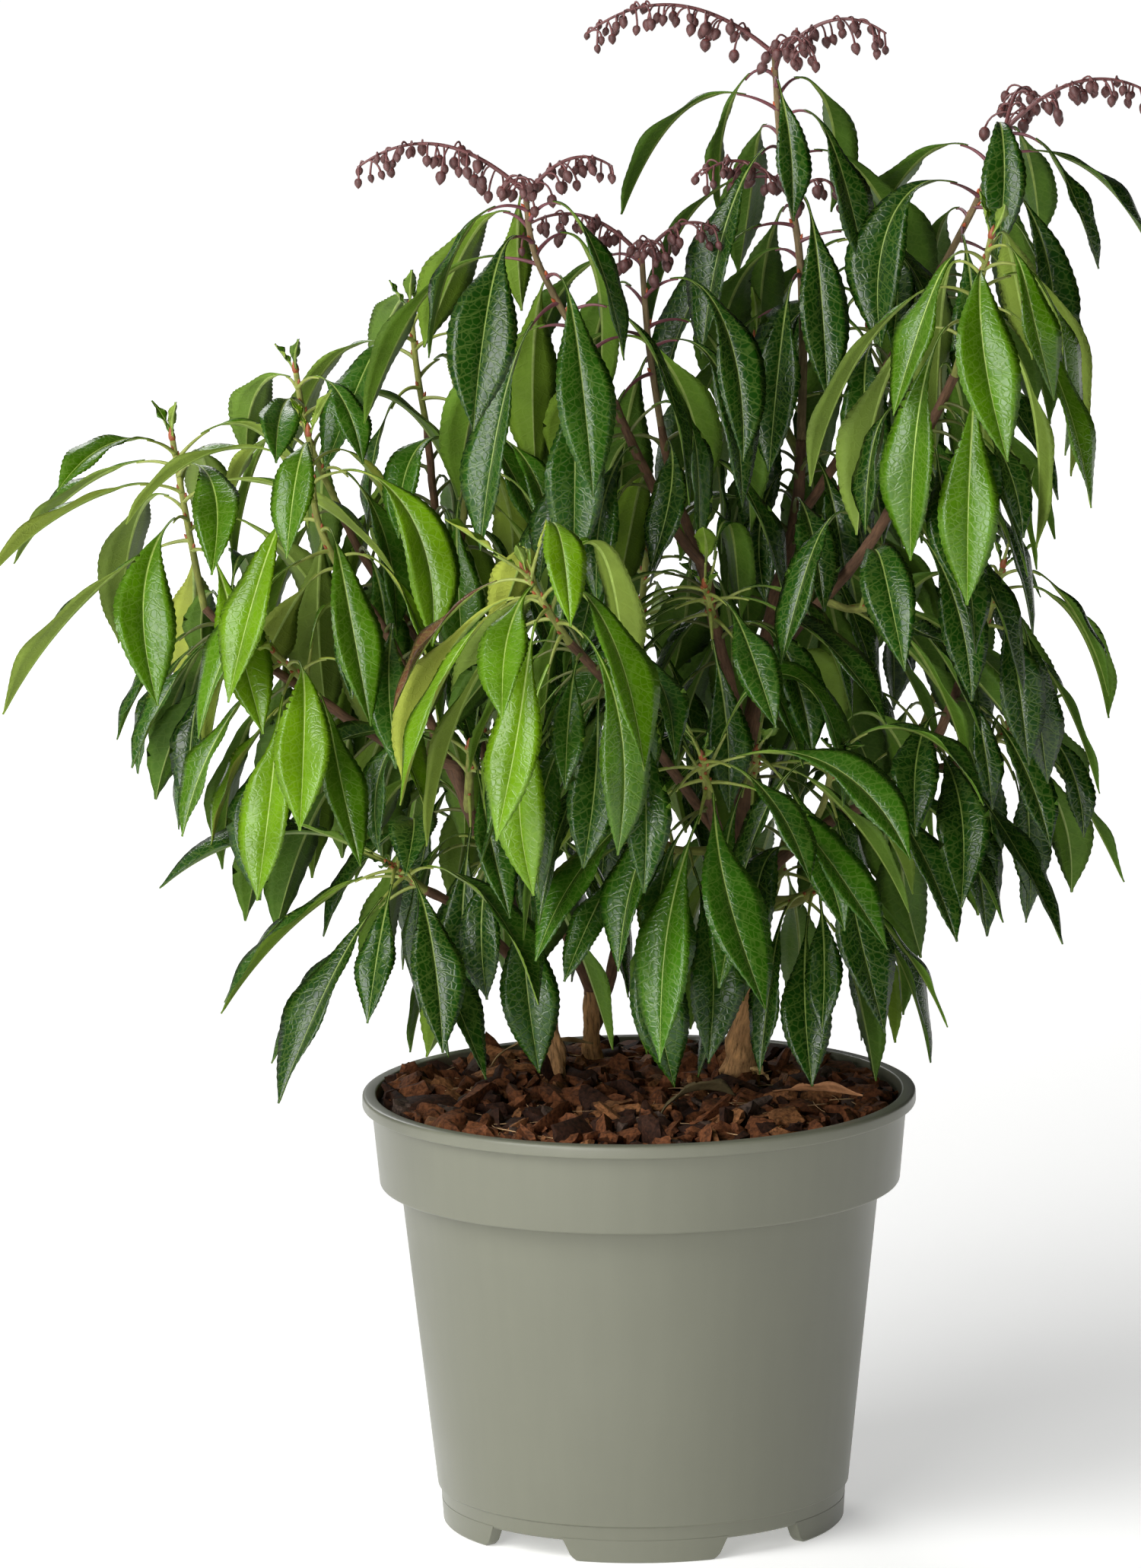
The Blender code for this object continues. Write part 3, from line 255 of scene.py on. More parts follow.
# Shoots: parent, path from base to tip, leaves, leaf length, leafy share of the stem, droop, first azimuth
# in degrees (0 is the right, -90 the front), tint, bud sprays as (azimuth, length factor, place), seed
SHOOTS = (
    Shoot("foliage_front", "bough_front",
          ((0.024, -0.056, 0.262), (0.023, -0.063, 0.270), (0.022, -0.069, 0.277)),
          12, 0.084, 0.85, 0.68, 180, "mid", (), 32),
    Shoot("foliage_front_left", "bough_front_left",
          ((-0.022, -0.094, 0.321), (-0.029, -0.100, 0.333), (-0.036, -0.104, 0.346)),
          14, 0.080, 0.90, 0.78, 240, "bright", (), 31),
    Shoot("foliage_low_left", "bough_low_left",
          ((-0.072, -0.024, 0.225), (-0.078, -0.031, 0.231), (-0.083, -0.037, 0.236)),
          12, 0.078, 0.85, 0.66, 120, "dark", (), 67),
    Shoot("foliage_low_middle", "bough_left",
          ((-0.049, -0.001, 0.230), (-0.045, -0.018, 0.238), (-0.041, -0.030, 0.246)),
          9, 0.076, 0.80, 0.86, 100, "dark", (), 69),
    Shoot("foliage_low_front", "bough_front",
          ((0.032, -0.020, 0.237), (0.014, -0.026, 0.238), (0.000, -0.032, 0.246)),
          9, 0.074, 0.70, 0.86, 280, "dark", (), 38),
    Shoot("foliage_left_whorl", "bough_left",
          ((-0.057, -0.0115, 0.250), (-0.0565, -0.027, 0.263), (-0.056, -0.040, 0.277)),
          11, 0.078, 0.85, 0.76, 0, "dark", (), 28),
    Shoot("foliage_inner_front", "bough_right_leader",
          ((0.038, 0.006, 0.255), (0.040, -0.016, 0.262), (0.041, -0.036, 0.274)),
          9, 0.074, 0.55, 0.72, 30, "mid", (), 35),
    Shoot("foliage_front_right", "bough_low_right",
          ((0.060, 0.010, 0.239), (0.064, -0.015, 0.252), (0.067, -0.042, 0.274)),
          10, 0.074, 0.50, 0.74, 270, "dark", (), 36),
    Shoot("foliage_low_right", "trunk_right",
          ((0.039, 0.011, 0.212), (0.053, -0.006, 0.216), (0.065, -0.024, 0.226)),
          10, 0.068, 0.60, 0.84, 80, "dark", (), 83),
    Shoot("foliage_top", "bough_right_leader",
          ((0.058, 0.022, 0.371), (0.059, 0.024, 0.402), (0.057, 0.026, 0.446), (0.052, 0.027, 0.471),
           (0.050, 0.028, 0.504)),
          19, 0.078, 0.74, 0.82, 0, "dark",
          ((184, 1.10, 0.99), (-12, 0.70, 0.97), (-70, 0.55, 0.95), (205, 0.62, 0.62), (20, 0.30, 0.60)), 51),
    Shoot("foliage_right_bud", "bough_far_right",
          ((0.107, 0.030, 0.429), (0.119, 0.029, 0.452), (0.129, 0.028, 0.477)),
          12, 0.078, 0.85, 0.80, 320, "dark", ((2, 0.92, 0.98), (70, 0.55, 0.96)), 52),
    Shoot("foliage_front_bud", "bough_front_bud",
          ((-0.006, -0.029, 0.392), (-0.016, -0.032, 0.412), (-0.031, -0.036, 0.440),
           (-0.035, -0.038, 0.465)),
          14, 0.084, 0.80, 0.84, 60, "dark", ((181, 0.98, 0.99), (10, 0.55, 0.97), (-100, 0.40, 0.95)), 53),
    Shoot("foliage_mid_bud", "bough_mid_bud",
          ((0.010, -0.003, 0.380), (0.006, -0.006, 0.409), (0.004, -0.008, 0.439)),
          13, 0.080, 0.80, 0.86, 140, "dark", ((188, 0.75, 0.99), (10, 0.50, 0.97), (-80, 0.35, 0.95)), 54),
    Shoot("foliage_far_left", "bough_far_left",
          ((-0.146, 0.004, 0.318), (-0.151, 0.005, 0.345), (-0.156, 0.005, 0.376)),
          14, 0.080, 0.75, 0.68, 100, "bright", (), 21),
    Shoot("foliage_left_front", "bough_left_front",
          ((-0.095, -0.020, 0.328), (-0.106, -0.022, 0.350), (-0.109, -0.024, 0.381)),
          15, 0.076, 0.90, 0.78, 0, "bright", (), 22),
    Shoot("foliage_upper_left", "bough_upper_left",
          ((-0.101, 0.024, 0.351), (-0.110, 0.021, 0.373), (-0.114, 0.018, 0.397)),
          10, 0.068, 0.80, 0.72, 180, "mid", (), 23),
    Shoot("foliage_back_left_top", "bough_back_left",
          ((-0.070, 0.040, 0.374), (-0.073, 0.041, 0.393), (-0.075, 0.042, 0.414)),
          10, 0.070, 0.80, 0.74, 180, "mid", (), 64),
    Shoot("foliage_inner_left", "bough_inner_left",
          ((-0.058, 0.022, 0.343), (-0.056, 0.022, 0.359), (-0.052, 0.022, 0.377)),
          9, 0.070, 0.80, 0.77, 20, "mid", (), 25),
    Shoot("foliage_left_low_front", "bough_far_left",
          ((-0.108, -0.009, 0.289), (-0.114, -0.022, 0.299), (-0.122, -0.032, 0.309)),
          12, 0.074, 0.85, 0.82, 140, "bright", (), 66),
    Shoot("foliage_centre_whorl", "bough_centre",
          ((0.0275, -0.0135, 0.313), (0.026, -0.026, 0.320), (0.024, -0.036, 0.330)),
          11, 0.074, 0.80, 0.70, 30, "dark", (), 33),
    Shoot("foliage_right", "bough_right",
          ((0.108, -0.047, 0.402), (0.115, -0.052, 0.428), (0.120, -0.054, 0.449)),
          16, 0.084, 0.90, 0.88, 160, "bright", (), 74),
    Shoot("foliage_fork_right", "bough_right",
          ((0.064, -0.011, 0.321), (0.073, -0.020, 0.319), (0.081, -0.030, 0.321)),
          10, 0.072, 0.80, 0.66, 300, "dark", (), 37),
    Shoot("foliage_right_low", "bough_low_right",
          ((0.115, -0.012, 0.303), (0.121, -0.015, 0.318), (0.125, -0.016, 0.332)),
          12, 0.070, 0.90, 0.86, 200, "dark", (), 81),
    Shoot("foliage_right_edge", "bough_right_edge",
          ((0.118, 0.011, 0.262), (0.124, 0.014, 0.268), (0.129, 0.015, 0.275)),
          11, 0.062, 0.85, 0.84, 160, "dark", (), 42),
    Shoot("foliage_back_right", "bough_back_right",
          ((0.082, 0.062, 0.392), (0.084, 0.064, 0.415), (0.086, 0.066, 0.438)),
          12, 0.076, 0.90, 0.80, 240, "dark", (), 51),
    Shoot("foliage_back_right_side", "bough_back_right",
          ((0.062, 0.043, 0.328), (0.078, 0.062, 0.330), (0.096, 0.076, 0.338)),
          11, 0.074, 0.75, 0.80, 105, "dark", (), 52),
    Shoot("foliage_back_right_low", "bough_low_right",
          ((0.086, 0.006, 0.251), (0.096, 0.030, 0.262), (0.104, 0.050, 0.278)),
          10, 0.072, 0.70, 0.74, 270, "dark", (), 53),
    Shoot("foliage_top_back", "bough_right_leader",
          ((0.0575, 0.0215, 0.365), (0.050, 0.044, 0.380), (0.044, 0.060, 0.400)),
          11, 0.076, 0.70, 0.82, 165, "dark", (), 54),
    Shoot("foliage_back", "bough_back",
          ((0.002, 0.072, 0.270), (0.003, 0.078, 0.300), (0.006, 0.084, 0.330)),
          14, 0.078, 0.85, 0.80, 330, "dark", (), 55),
    Shoot("foliage_back_side", "bough_back",
          ((0.001, 0.0715, 0.262), (-0.016, 0.086, 0.275), (-0.028, 0.098, 0.295)),
          10, 0.074, 0.75, 0.82, 0, "dark", (), 56),
    Shoot("foliage_inner_back", "bough_back",
          ((0.000, 0.070, 0.245), (-0.006, 0.048, 0.280), (-0.008, 0.030, 0.312)),
          10, 0.072, 0.60, 0.84, 90, "dark", (), 57),
    Shoot("foliage_back_left", "bough_back_left",
          ((-0.042, 0.043, 0.236), (-0.052, 0.062, 0.262), (-0.058, 0.078, 0.290)),
          11, 0.074, 0.70, 0.80, 280, "dark", (), 58),
    Shoot("foliage_low_back_left", "bough_back_left",
          ((-0.026, 0.049, 0.200), (-0.044, 0.066, 0.212), (-0.058, 0.080, 0.228)),
          10, 0.070, 0.65, 0.80, 160, "dark", (), 59),
    Shoot("foliage_low_back_right", "trunk_right",
          ((0.0395, 0.015, 0.198), (0.048, 0.040, 0.214), (0.055, 0.064, 0.236)),
          11, 0.072, 0.65, 0.74, 340, "dark", (), 60),
)

# Leaves along the bare boughs
INNER_SPACING = 0.0042
INNER_ROUNDS = 3
INNER_TRIES = 5
INNER_LENGTH = 0.073
INNER_SPREAD = 0.92
INNER_DROOP = 0.80
INNER_TURN = 67
INNER_FLOOR = 0.200

# Fine leaves; TOP_ACROSS and UNDER_ACROSS are shares of the half width
LEAF_STATIONS = 57
BACK_STATIONS = 45
INNER_STATIONS = 23
YOUNG_STATIONS = 15
FINE_STEPS = 96
TOP_ACROSS = (-1.0, -0.66, -0.33)
UNDER_ACROSS = 0.5
BLADE_THICKNESS = 0.00045
LEAST_HALF_WIDTH = 0.0005
GROOVE = 0.00030
RIB_HALF_TOP = 0.00036
RIB_HALF_UNDER = 0.00075
RIB_DEPTH = 0.0007
BLADE_FOLD = 0.50
BLADE_BELLY = 0.17
WAVE_HEIGHT = 0.0009
WAVES = 2.6
SIDE_BOW = 0.0048
FULL_LENGTH = 0.08
FULLNESS = 1.07
FULLNESS_RANGE = (0.84, 1.08)
FOLD_RANGE = (0.6, 1.2)
FINE_WIDEST_AT = WIDEST_AT + 0.03
BASE_TAPER = 1.7
TIP_TAPER = 1.18
STALK_RINGS = 15
STALK_SIDES = 6
STALK_REACH = 1.3
STALK_FOOT = 0.00074
STALK_THINNING = 0.00042
STALK_SWELLING = 0.0005
STALK_SUNK = 0.0007

# Tones of the leaves as lightness and warmth; leaves on the plant's shaded right take one of the two darkest
TONES = ((0.68, 0.92), (0.85, 0.98), (1.02, 1.06), (1.2, 1.2))
RIB_LIGHT = {"bright": 0.95, "mid": 0.8, "dark": 0.62}
RIB_SKIN = 2 * len(TONES)
AGING_SKIN = RIB_SKIN + 1
DARK_SPLIT_Y = 0.0
SHADED_X = 0.05

# Limbs and stems
BARK_RING_STEP = 0.0010
BARK_SIDES = {"trunk": 56, "bough": 18, "stem": 12}
TRUNK_LEAD = 0.008
LIMB_LEAD = 0.0016
PLATE_LENGTH = 0.0060
KNOB_LENGTH = 0.0022
FULL_RELIEF_RADIUS = 0.004
STEM_RELIEF = 0.00015

# Buds: the profiles are (share of the length, share of the half width); a bud's stalk bends at PEDICEL_BEND
# and ends at PEDICEL_END, as distances sideways and down; tip and side buds are given as length and width
BUD_PROFILE = ((0.0, 0.3), (0.07, 0.7), (0.24, 0.96), (0.46, 1.0), (0.66, 0.84), (0.85, 0.46), (1.0, 0.05))
TIP_BUD_PROFILE = ((0.0, 0.7), (0.25, 1.0), (0.5, 0.9), (0.78, 0.5), (1.0, 0.06))
BUD_SIDES = 10
BUD_RIDGE = 0.09
TIP_BUD_SIDES = 7
TIP_BUD = (0.0052, 0.0026)
SIDE_BUD = (0.0021, 0.0013)
SPRAY_LEAN = 0.6
SPRAY_RINGS = 34
SPRAY_SIDES = 8
SPRAY_RADIUS = 0.00085
SPRAY_THINNING = 0.00045
PEDICEL_RINGS = 6
PEDICEL_SIDES = 5
PEDICEL_RADII = (0.00034, 0.00042)
PEDICEL_BEND = (0.0044, -0.0006)
PEDICEL_END = (0.0060, 0.0034)
TIP_LEAVES = 3
TIP_LEAF_LENGTH = 0.010
TIP_LEAF_GAIN = 0.0045

# Fine pot
POT_SIDES = 192
PAD_SIDES = 64
FOOT_STEPS = 25
FOOT_CORNER = 0.0016
BASE_LINE_Z = 0.0125

# Mulch
BED_RINGS = 40
BED_SIDES = 96
CHIP_RINGS = 5
CHIP_SIDES = 7
CHIP_THICKNESS = (0.0015, 0.0060)
CHIP_LAYER = (-0.0026, 0.0028)
CHIP_JAG = 0.0011
FIBER_LENGTH = (0.006, 0.020)
FIBER_RADIUS = 0.00016
FIBER_REACH = 0.078
FIBER_HEIGHT = 0.0026

SEEDS = {"chips": 41, "fibers": 42, "fallen": 43, "young": 77, "leaves": 100, "inner": 150, "tips": 200,
         "buds": 301, "limbs": 500, "stems": 700, "boughs": 900}
OFF_AXIS = (0.31, 0.52, 0.79)

# Camera: far off on the photo's line of sight, so the rim shows as the same ellipse
CAMERA_PLACE = (-0.0222, -3.5, 0.88)
CAMERA_PITCH = math.radians(10.1)
CAMERA_ROLL = math.radians(0.7)
CAMERA_LENS = 239.1
SENSOR = 36.0
FLOOR_HALF = 30.0


def unit(vector):
    """The vector, or each row of vectors, at length 1."""
    vector = np.asarray(vector, float)
    return vector / np.linalg.norm(vector, axis=-1, keepdims=True)


def smooth_path(points, count):
    """Catmull-Rom curve through the points, resampled to `count` points at even distances."""
    p = np.asarray(points, float)
    p = np.vstack((2 * p[0] - p[1], p, 2 * p[-1] - p[-2]))
    u = np.linspace(0, 1, SPLINE_STEPS + 1)[:-1, None]
    spans = []
    for a, b, c, d in zip(p[:-3], p[1:-2], p[2:-1], p[3:]):
        cubic = 2 * b + (c - a) * u + (2 * a - 5 * b + 4 * c - d) * u ** 2 + (3 * b - a - 3 * c + d) * u ** 3
        spans.append(cubic / 2)
    fine = np.vstack(spans + [p[-2:-1]])
    distance = np.concatenate(([0], np.cumsum(np.linalg.norm(np.diff(fine, axis=0), axis=1))))
    even = np.linspace(0, distance[-1], count)
    return np.stack([np.interp(even, distance, fine[:, i]) for i in range(3)], axis=1)


def frames(path, first_axis=None):
    """Tangent and two side vectors at each point, carried along the path without twist."""
    tangent = unit(np.gradient(path, axis=0))
    if first_axis is not None:
        tangent[0] = first_axis
    side = unit(np.cross(tangent[0], (0.3, 1.0, 0.1)))
    sides = []
    for t in tangent:
        side = unit(side - t * np.dot(side, t))
        sides.append(side)
    sides = np.array(sides)
    return tangent, sides, np.cross(tangent, sides)


def loft(rings, apex=None):
    """Vertices and triangles of a closed skin over rings of equal size, with an optional point at its end."""
    rings = np.asarray(rings, float)
    count, size = rings.shape[:2]
    verts = list(rings.reshape(-1, 3))
    faces = [(0, i + 1, i) for i in range(1, size - 1)]
    for r in range(count - 1):
        for i in range(size):
            a = r * size + i
            b = r * size + (i + 1) % size
            faces.append((a, b, b + size))
            faces.append((a, b + size, a + size))
    last = (count - 1) * size
    if apex is None:
        faces += [(last, last + i, last + i + 1) for i in range(1, size - 1)]
    else:
        verts.append(np.asarray(apex, float))
        top = len(verts) - 1
        faces += [(last + i, last + (i + 1) % size, top) for i in range(size)]
    return np.array(verts), faces


def ring_points(sides, across, up):
    """Directions to `sides` points evenly round a line, from its two side vectors given as (..., 3)."""
    angle = np.arange(sides) * math.tau / sides
    return np.cos(angle)[:, None] * across[..., None, :] + np.sin(angle)[:, None] * up[..., None, :]


def tube(path, radii, sides, first_axis=None):
    """Rings of `sides` points at the given radii round a path."""
    _, across, up = frames(path, first_axis)
    return path[:, None] + ring_points(sides, across, up) * np.asarray(radii)[:, None, None]


class Axis:
    """A limb's or stem's centre line with its radii, from a clear start to its tip."""

    def __init__(self, path, base_radius, tip_radius, parent, count, sides, flare=0.0):
        self.sides = sides
        fine = smooth_path(path, PATH_POINTS)
        self.first_axis = None
        start = 0
        self.flare = flare
        if parent is None:
            fine[:, 2] = np.maximum(fine[:, 2], SOIL_Z + CLEAR)
            start = int(np.argmax(fine[:, 2] > SOIL_Z + 2 * CLEAR)) - 1
            self.first_axis = (0, 0, 1)
            self.inside = fine[start] - (0, 0, TRUNK_LEAD)
        elif np.linalg.norm(fine[0] - parent.path[-1]) < 2 * parent.radii[-1]:
            ahead = unit(parent.path[-1] - parent.path[-2])
            fade = np.linspace(1, 0, PATH_POINTS)[:, None]
            fine = fine + (parent.path[-1] + ahead * CLEAR - fine[0]) * fade
            self.first_axis = ahead
            self.inside = fine[0] - ahead * LIMB_LEAD
        else:
            start = self.clear_start(fine, base_radius, parent.skin())
            self.inside = fine[0]
        knots = np.linspace(start, PATH_POINTS - 1, PATH_KNOTS).astype(int)
        self.path = smooth_path(fine[knots], count)
        self.run = np.concatenate(([0], np.cumsum(np.linalg.norm(np.diff(self.path, axis=0), axis=1))))
        self.radii = np.linspace(base_radius, tip_radius, count) + flare * np.exp(-self.run / FLARE_REACH)

    def clear_start(self, fine, radius, skin):
        """First point of the path where the flat end of this limb stands clear of its parent's skin."""
        bark = BVHTree.FromPolygons([tuple(v) for v in skin[0]], skin[1])
        for i in range(len(fine) - 1):
            end = tube(fine[i:i + 2], (radius, radius), self.sides)[0]
            points = np.vstack((end, (end + np.roll(end, 1, axis=0)) / 2, fine[i:i + 1]))
            if min(self.height_above(bark, point) for point in points) > CLEAR:
                return i
        raise ValueError("a limb never leaves its parent")

    @staticmethod
    def height_above(bark, point):
        """Distance from a skin, negative inside it."""
        near, normal, _, distance = bark.find_nearest(tuple(point))
        return distance if normal.dot(Vector(point) - near) > 0 else -distance

    def skin(self, margin=0.0):
        """Vertices and triangles of the limb."""
        return loft(tube(self.path, self.radii + margin, self.sides, self.first_axis))

    def at(self, place):
        """Point, direction and radius at a place from 0 to 1."""
        places = np.linspace(0, 1, len(self.path))
        tangent = unit(np.gradient(self.path, axis=0))
        point = np.array([np.interp(place, places, self.path[:, k]) for k in range(3)])
        ahead = unit([np.interp(place, places, tangent[:, k]) for k in range(3)])
        return point, ahead, np.interp(place, places, self.radii)


def half_width(t):
    """Half width of a blade as a share of its widest, which is a little past the middle."""
    return np.sin(math.pi * t ** (math.log(0.5) / math.log(WIDEST_AT))) ** END_SHARPNESS


class Leaf:
    """One leaf: a stalk and blade along a curve that leaves the stem and settles towards the ground."""

    def __init__(self, root, first, pull, droop, length, stalk, settle, twist=0.0):
        u = (np.arange(CURVE_STEPS) + 0.5) / CURVE_STEPS
        lean = (droop * (EARLY_BEND * (1 - (1 - u) ** settle) + (1 - EARLY_BEND) * u))[:, None]
        heading = unit((1 - lean) * first + lean * pull)
        steps = np.cumsum(heading, axis=0) * (length / CURVE_STEPS)
        self.points = np.vstack((root, root + steps))
        self.headings = np.vstack((heading, heading[-1:]))
        side = unit(np.cross(pull, first))
        normal = np.cross(side, self.headings)
        turn = (twist * np.linspace(0, 1, CURVE_STEPS + 1))[:, None]
        self.sides = side * np.cos(turn) + normal * np.sin(turn)
        self.normals = normal * np.cos(turn) - side * np.sin(turn)
        self.root, self.first, self.pull = root, first, pull
        self.droop, self.settle, self.twist = droop, settle, twist
        self.length = length
        self.stalk = stalk / length
        self.width = LEAF_WIDTH_RATIO * (length - stalk)

    def at(self, s):
        """Centre, side and normal at the share s of the whole length."""
        grid = np.linspace(0, 1, CURVE_STEPS + 1)
        rows = (self.points, self.sides, self.normals)
        centre, side, normal = [np.array([np.interp(s, grid, row[:, i]) for i in range(3)]) for row in rows]
        return centre, unit(side), unit(normal)

    def ring(self, t, margin=0.0):
        """Left edge, keel and right edge of the blade at share t of the blade."""
        centre, side, normal = self.at(self.stalk + t * (1 - self.stalk))
        half = max(self.width / 2 * half_width(t), STALK_RADIUS) + margin
        rise = FOLD * half + margin
        return (centre - side * half + normal * rise, centre - normal * (LEAF_THICKNESS + margin),
                centre + side * half + normal * rise)

    def stalk_ring(self, s):
        """Three points round the stalk at share s of the whole length."""
        centre, side, normal = self.at(s)
        top = centre + normal * STALK_RADIUS * STALK_TOP
        return top - side * STALK_RADIUS, centre - normal * STALK_RADIUS, top + side * STALK_RADIUS

    def test_shape(self, clear_of_stem):
        """Vertices and triangles, a little larger than the leaf, that must touch nothing."""
        start = self.stalk_ring(min(clear_of_stem / self.length, self.stalk * 0.8))
        verts, faces = loft([start] + [self.ring(t, LEAF_MARGIN) for t in TEST_SECTIONS], self.points[-1])
        rings = np.array([self.stalk_ring(0.0)] + [self.ring(t, LEAF_MARGIN) for t in BLADE_SECTIONS])
        rings[0] += (rings[1] - rings[0]) * clear_of_stem / np.linalg.norm(rings[1, 1] - rings[0, 1])
        more, more_faces = loft(rings, self.points[-1])
        faces += [tuple(i + len(verts) for i in face) for face in more_faces]
        return np.vstack((verts, more)), faces


class Space:
    """Everything placed so far, as boxes and search trees."""

    def __init__(self):
        self.lows = []
        self.highs = []
        self.trees = []

    def add(self, verts, faces):
        """Keeps a placed shape."""
        self.lows.append(verts.min(0))
        self.highs.append(verts.max(0))
        self.trees.append(BVHTree.FromPolygons([tuple(v) for v in verts], faces))

    def free(self, verts, faces):
        """True where a shape touches nothing placed so far, nor the pot and its mulch."""
        reach = np.hypot(verts[:, 0], verts[:, 1])
        if np.any((verts[:, 2] < SOIL_Z + MULCH_HEADROOM) & (reach < RIM_RADIUS + MULCH_HEADROOM)):
            return False
        near = np.all((np.array(self.lows) <= verts.max(0)) & (np.array(self.highs) >= verts.min(0)), axis=1)
        hits = np.flatnonzero(near)
        if not len(hits):
            return True
        tree = BVHTree.FromPolygons([tuple(v) for v in verts], faces)
        return not any(tree.overlap(self.trees[i]) for i in hits)


def draw_leaf(shoot, stem, index, attempt, jitter):
    """The leaf of this index on its shoot, varied by seven numbers between -1 and 1."""
    share = (index + 0.5) / shoot.leaves
    young = index == 0 and not shoot.sprays
    place = 1 - shoot.spread * (BARE_TIP + (1 - BARE_TIP) * share ** CROWDING)
    root, ahead, radius = stem.at(place)
    bearing = math.radians(shoot.turn) + index * GOLDEN_ANGLE
    bearing += jitter[0] * (TURN_JITTER + TURN_SEARCH * attempt)
    out = np.array((math.cos(bearing), math.sin(bearing), 0.0))
    out = unit(out - ahead * np.dot(out, ahead))
    lift = math.radians((YOUNG_LIFT if young else TIP_LIFT + LIFT_GAIN * share) + LIFT_JITTER * jitter[1])
    first = ahead * math.cos(lift) + out * math.sin(lift)
    pull = unit(np.array((PULL_JITTER * jitter[2], PULL_JITTER * jitter[3], -1.0)) - INWARD_PULL * out)
    droop = shoot.droop * (DROOP_AT_TIP + DROOP_GAIN * share)
    droop = np.clip(droop + (DROOP_JITTER + DROOP_SEARCH * attempt) * jitter[4], *DROOP_LIMITS)
    age = min(1.0, TIP_LENGTH + LENGTH_GAIN * share)
    if young:
        droop *= YOUNG_DROOP
        age = YOUNG_LENGTH
    length = shoot.leaf_length * age * (1 + LENGTH_JITTER * jitter[5]) * (1 - LENGTH_LOSS * attempt)
    settle = SETTLE_SLOW + (SETTLE_QUICK - SETTLE_SLOW) * (jitter[6] + 1) / 2
    stalk = STALK_LENGTH + radius
    leaf = Leaf(root, first, pull, droop, length + STALK_LENGTH, stalk, settle, TWIST * jitter[2])
    return leaf, leaf.test_shape(CLEAR_OF_STEM * radius)


def grow_leaves(shoot, stem, space, tries=PLACING_TRIES):
    """Leaves of one shoot: set round the stem by the golden angle, upright at the tip and hanging below."""
    random = np.random.RandomState(shoot.seed)
    leaves = []
    for index in range(shoot.leaves):
        for attempt in range(tries):
            leaf, shape = draw_leaf(shoot, stem, index, attempt, random.uniform(-1, 1, 7))
            if space.free(*shape):
                space.add(*shape)
                leaves.append(leaf)
                break
    return leaves


def spray_curve(stem, azimuth, factor, place):
    """Curve of an arching flower stalk."""
    out = np.array((math.cos(math.radians(azimuth)), math.sin(math.radians(azimuth)), 0.0))
    first = unit((0, 0, 1) + (SPRAY_RISE + SPRAY_REACH * factor) * out)
    pull = unit(SPRAY_PULL * out + (0, 0, -1))
    return Leaf(stem.at(place)[0], first, pull, SPRAY_DROOP, SPRAY_LENGTH * factor, 0, SPRAY_SETTLE)


def bud_spray(stem, azimuth, factor, place):
    """The toothed solid round a spray, which leaves keep clear of."""
    curve = spray_curve(stem, azimuth, factor, place)
    rings = []
    for k, s in enumerate(np.linspace(SPRAY_START, SPRAY_END, 2 * SPRAY_TEETH + 1)):
        centre, side, normal = curve.at(s if k else 0)
        bud = k % 2 == 1
        hang = BUD_HANG if bud else RACHIS_HANG
        half = BUD_HALF_WIDTH if bud else RACHIS_HALF_WIDTH
        if k < 2:
            hang *= BASE_BUD_SHARE
        down = np.array((0, 0, hang)) if bud or s > SPRAY_BARE else normal * RACHIS_HALF_WIDTH
        rings.append((centre + normal * SPRAY_TOP, centre - down - side * half, centre - down + side * half))
    return loft(rings, curve.points[-1])


def wall_radius(z):
    """Outer radius of the pot's wall at a height."""
    if z >= BAND_BOTTOM_Z:
        share = (z - BAND_BOTTOM_Z) / (POT_HEIGHT - BEAD_HEIGHT - BAND_BOTTOM_Z)
        return BAND_BOTTOM_RADIUS + (BAND_TOP_RADIUS - BAND_BOTTOM_RADIUS) * min(share, 1.0)
    return BASE_RADIUS + (SHOULDER_RADIUS - BASE_RADIUS) * (z - BASE_Z) / (SHOULDER_Z - BASE_Z)


@lru_cache(maxsize=1)
def grow():
    """Limbs, stems, leaves and bare-bough leaves of the whole plant, in the order of the solids."""
    space = Space()
    axes = {}
    for limb in LIMBS:
        parent = axes.get(limb.parent)
        count, sides = (TRUNK_RINGS, TRUNK_SIDES) if parent is None else (2 + len(limb.path), LIMB_SIDES)
        axes[limb.name] = Axis(limb.path, limb.base_radius, limb.tip_radius, parent, count, sides, limb.flare)
    stems = {}
    for shoot in SHOOTS:
        parent = axes[shoot.parent]
        radius = parent.radii[-1] * STEM_SHARE
        stems[shoot.name] = Axis(shoot.path, radius, STEM_TIP_RADIUS, parent, STEM_RINGS, STEM_SIDES)
    for axis in list(axes.values()) + list(stems.values()):
        space.add(*axis.skin(LEAF_MARGIN))
    sprays = {}
    for shoot in SHOOTS:
        sprays[shoot.name] = [bud_spray(stems[shoot.name], *spray) for spray in shoot.sprays]
        for spray in sprays[shoot.name]:
            space.add(*spray)
    leaves = {shoot.name: grow_leaves(shoot, stems[shoot.name], space) for shoot in SHOOTS}
    inner = []
    boughs = [limb.name for limb in LIMBS if limb.parent]
    for number, name in enumerate(boughs * INNER_ROUNDS):
        count = int(axes[name].run[-1] / INNER_SPACING)
        shoot = Shoot(name, None, None, count, INNER_LENGTH, INNER_SPREAD, INNER_DROOP, INNER_TURN * number,
                      "dark", (), SEEDS["boughs"] + number)
        grown = grow_leaves(shoot, axes[name], space, INNER_TRIES)
        inner += [leaf for leaf in grown if leaf.points[-1][2] > INNER_FLOOR]
    return axes, stems, leaves, inner


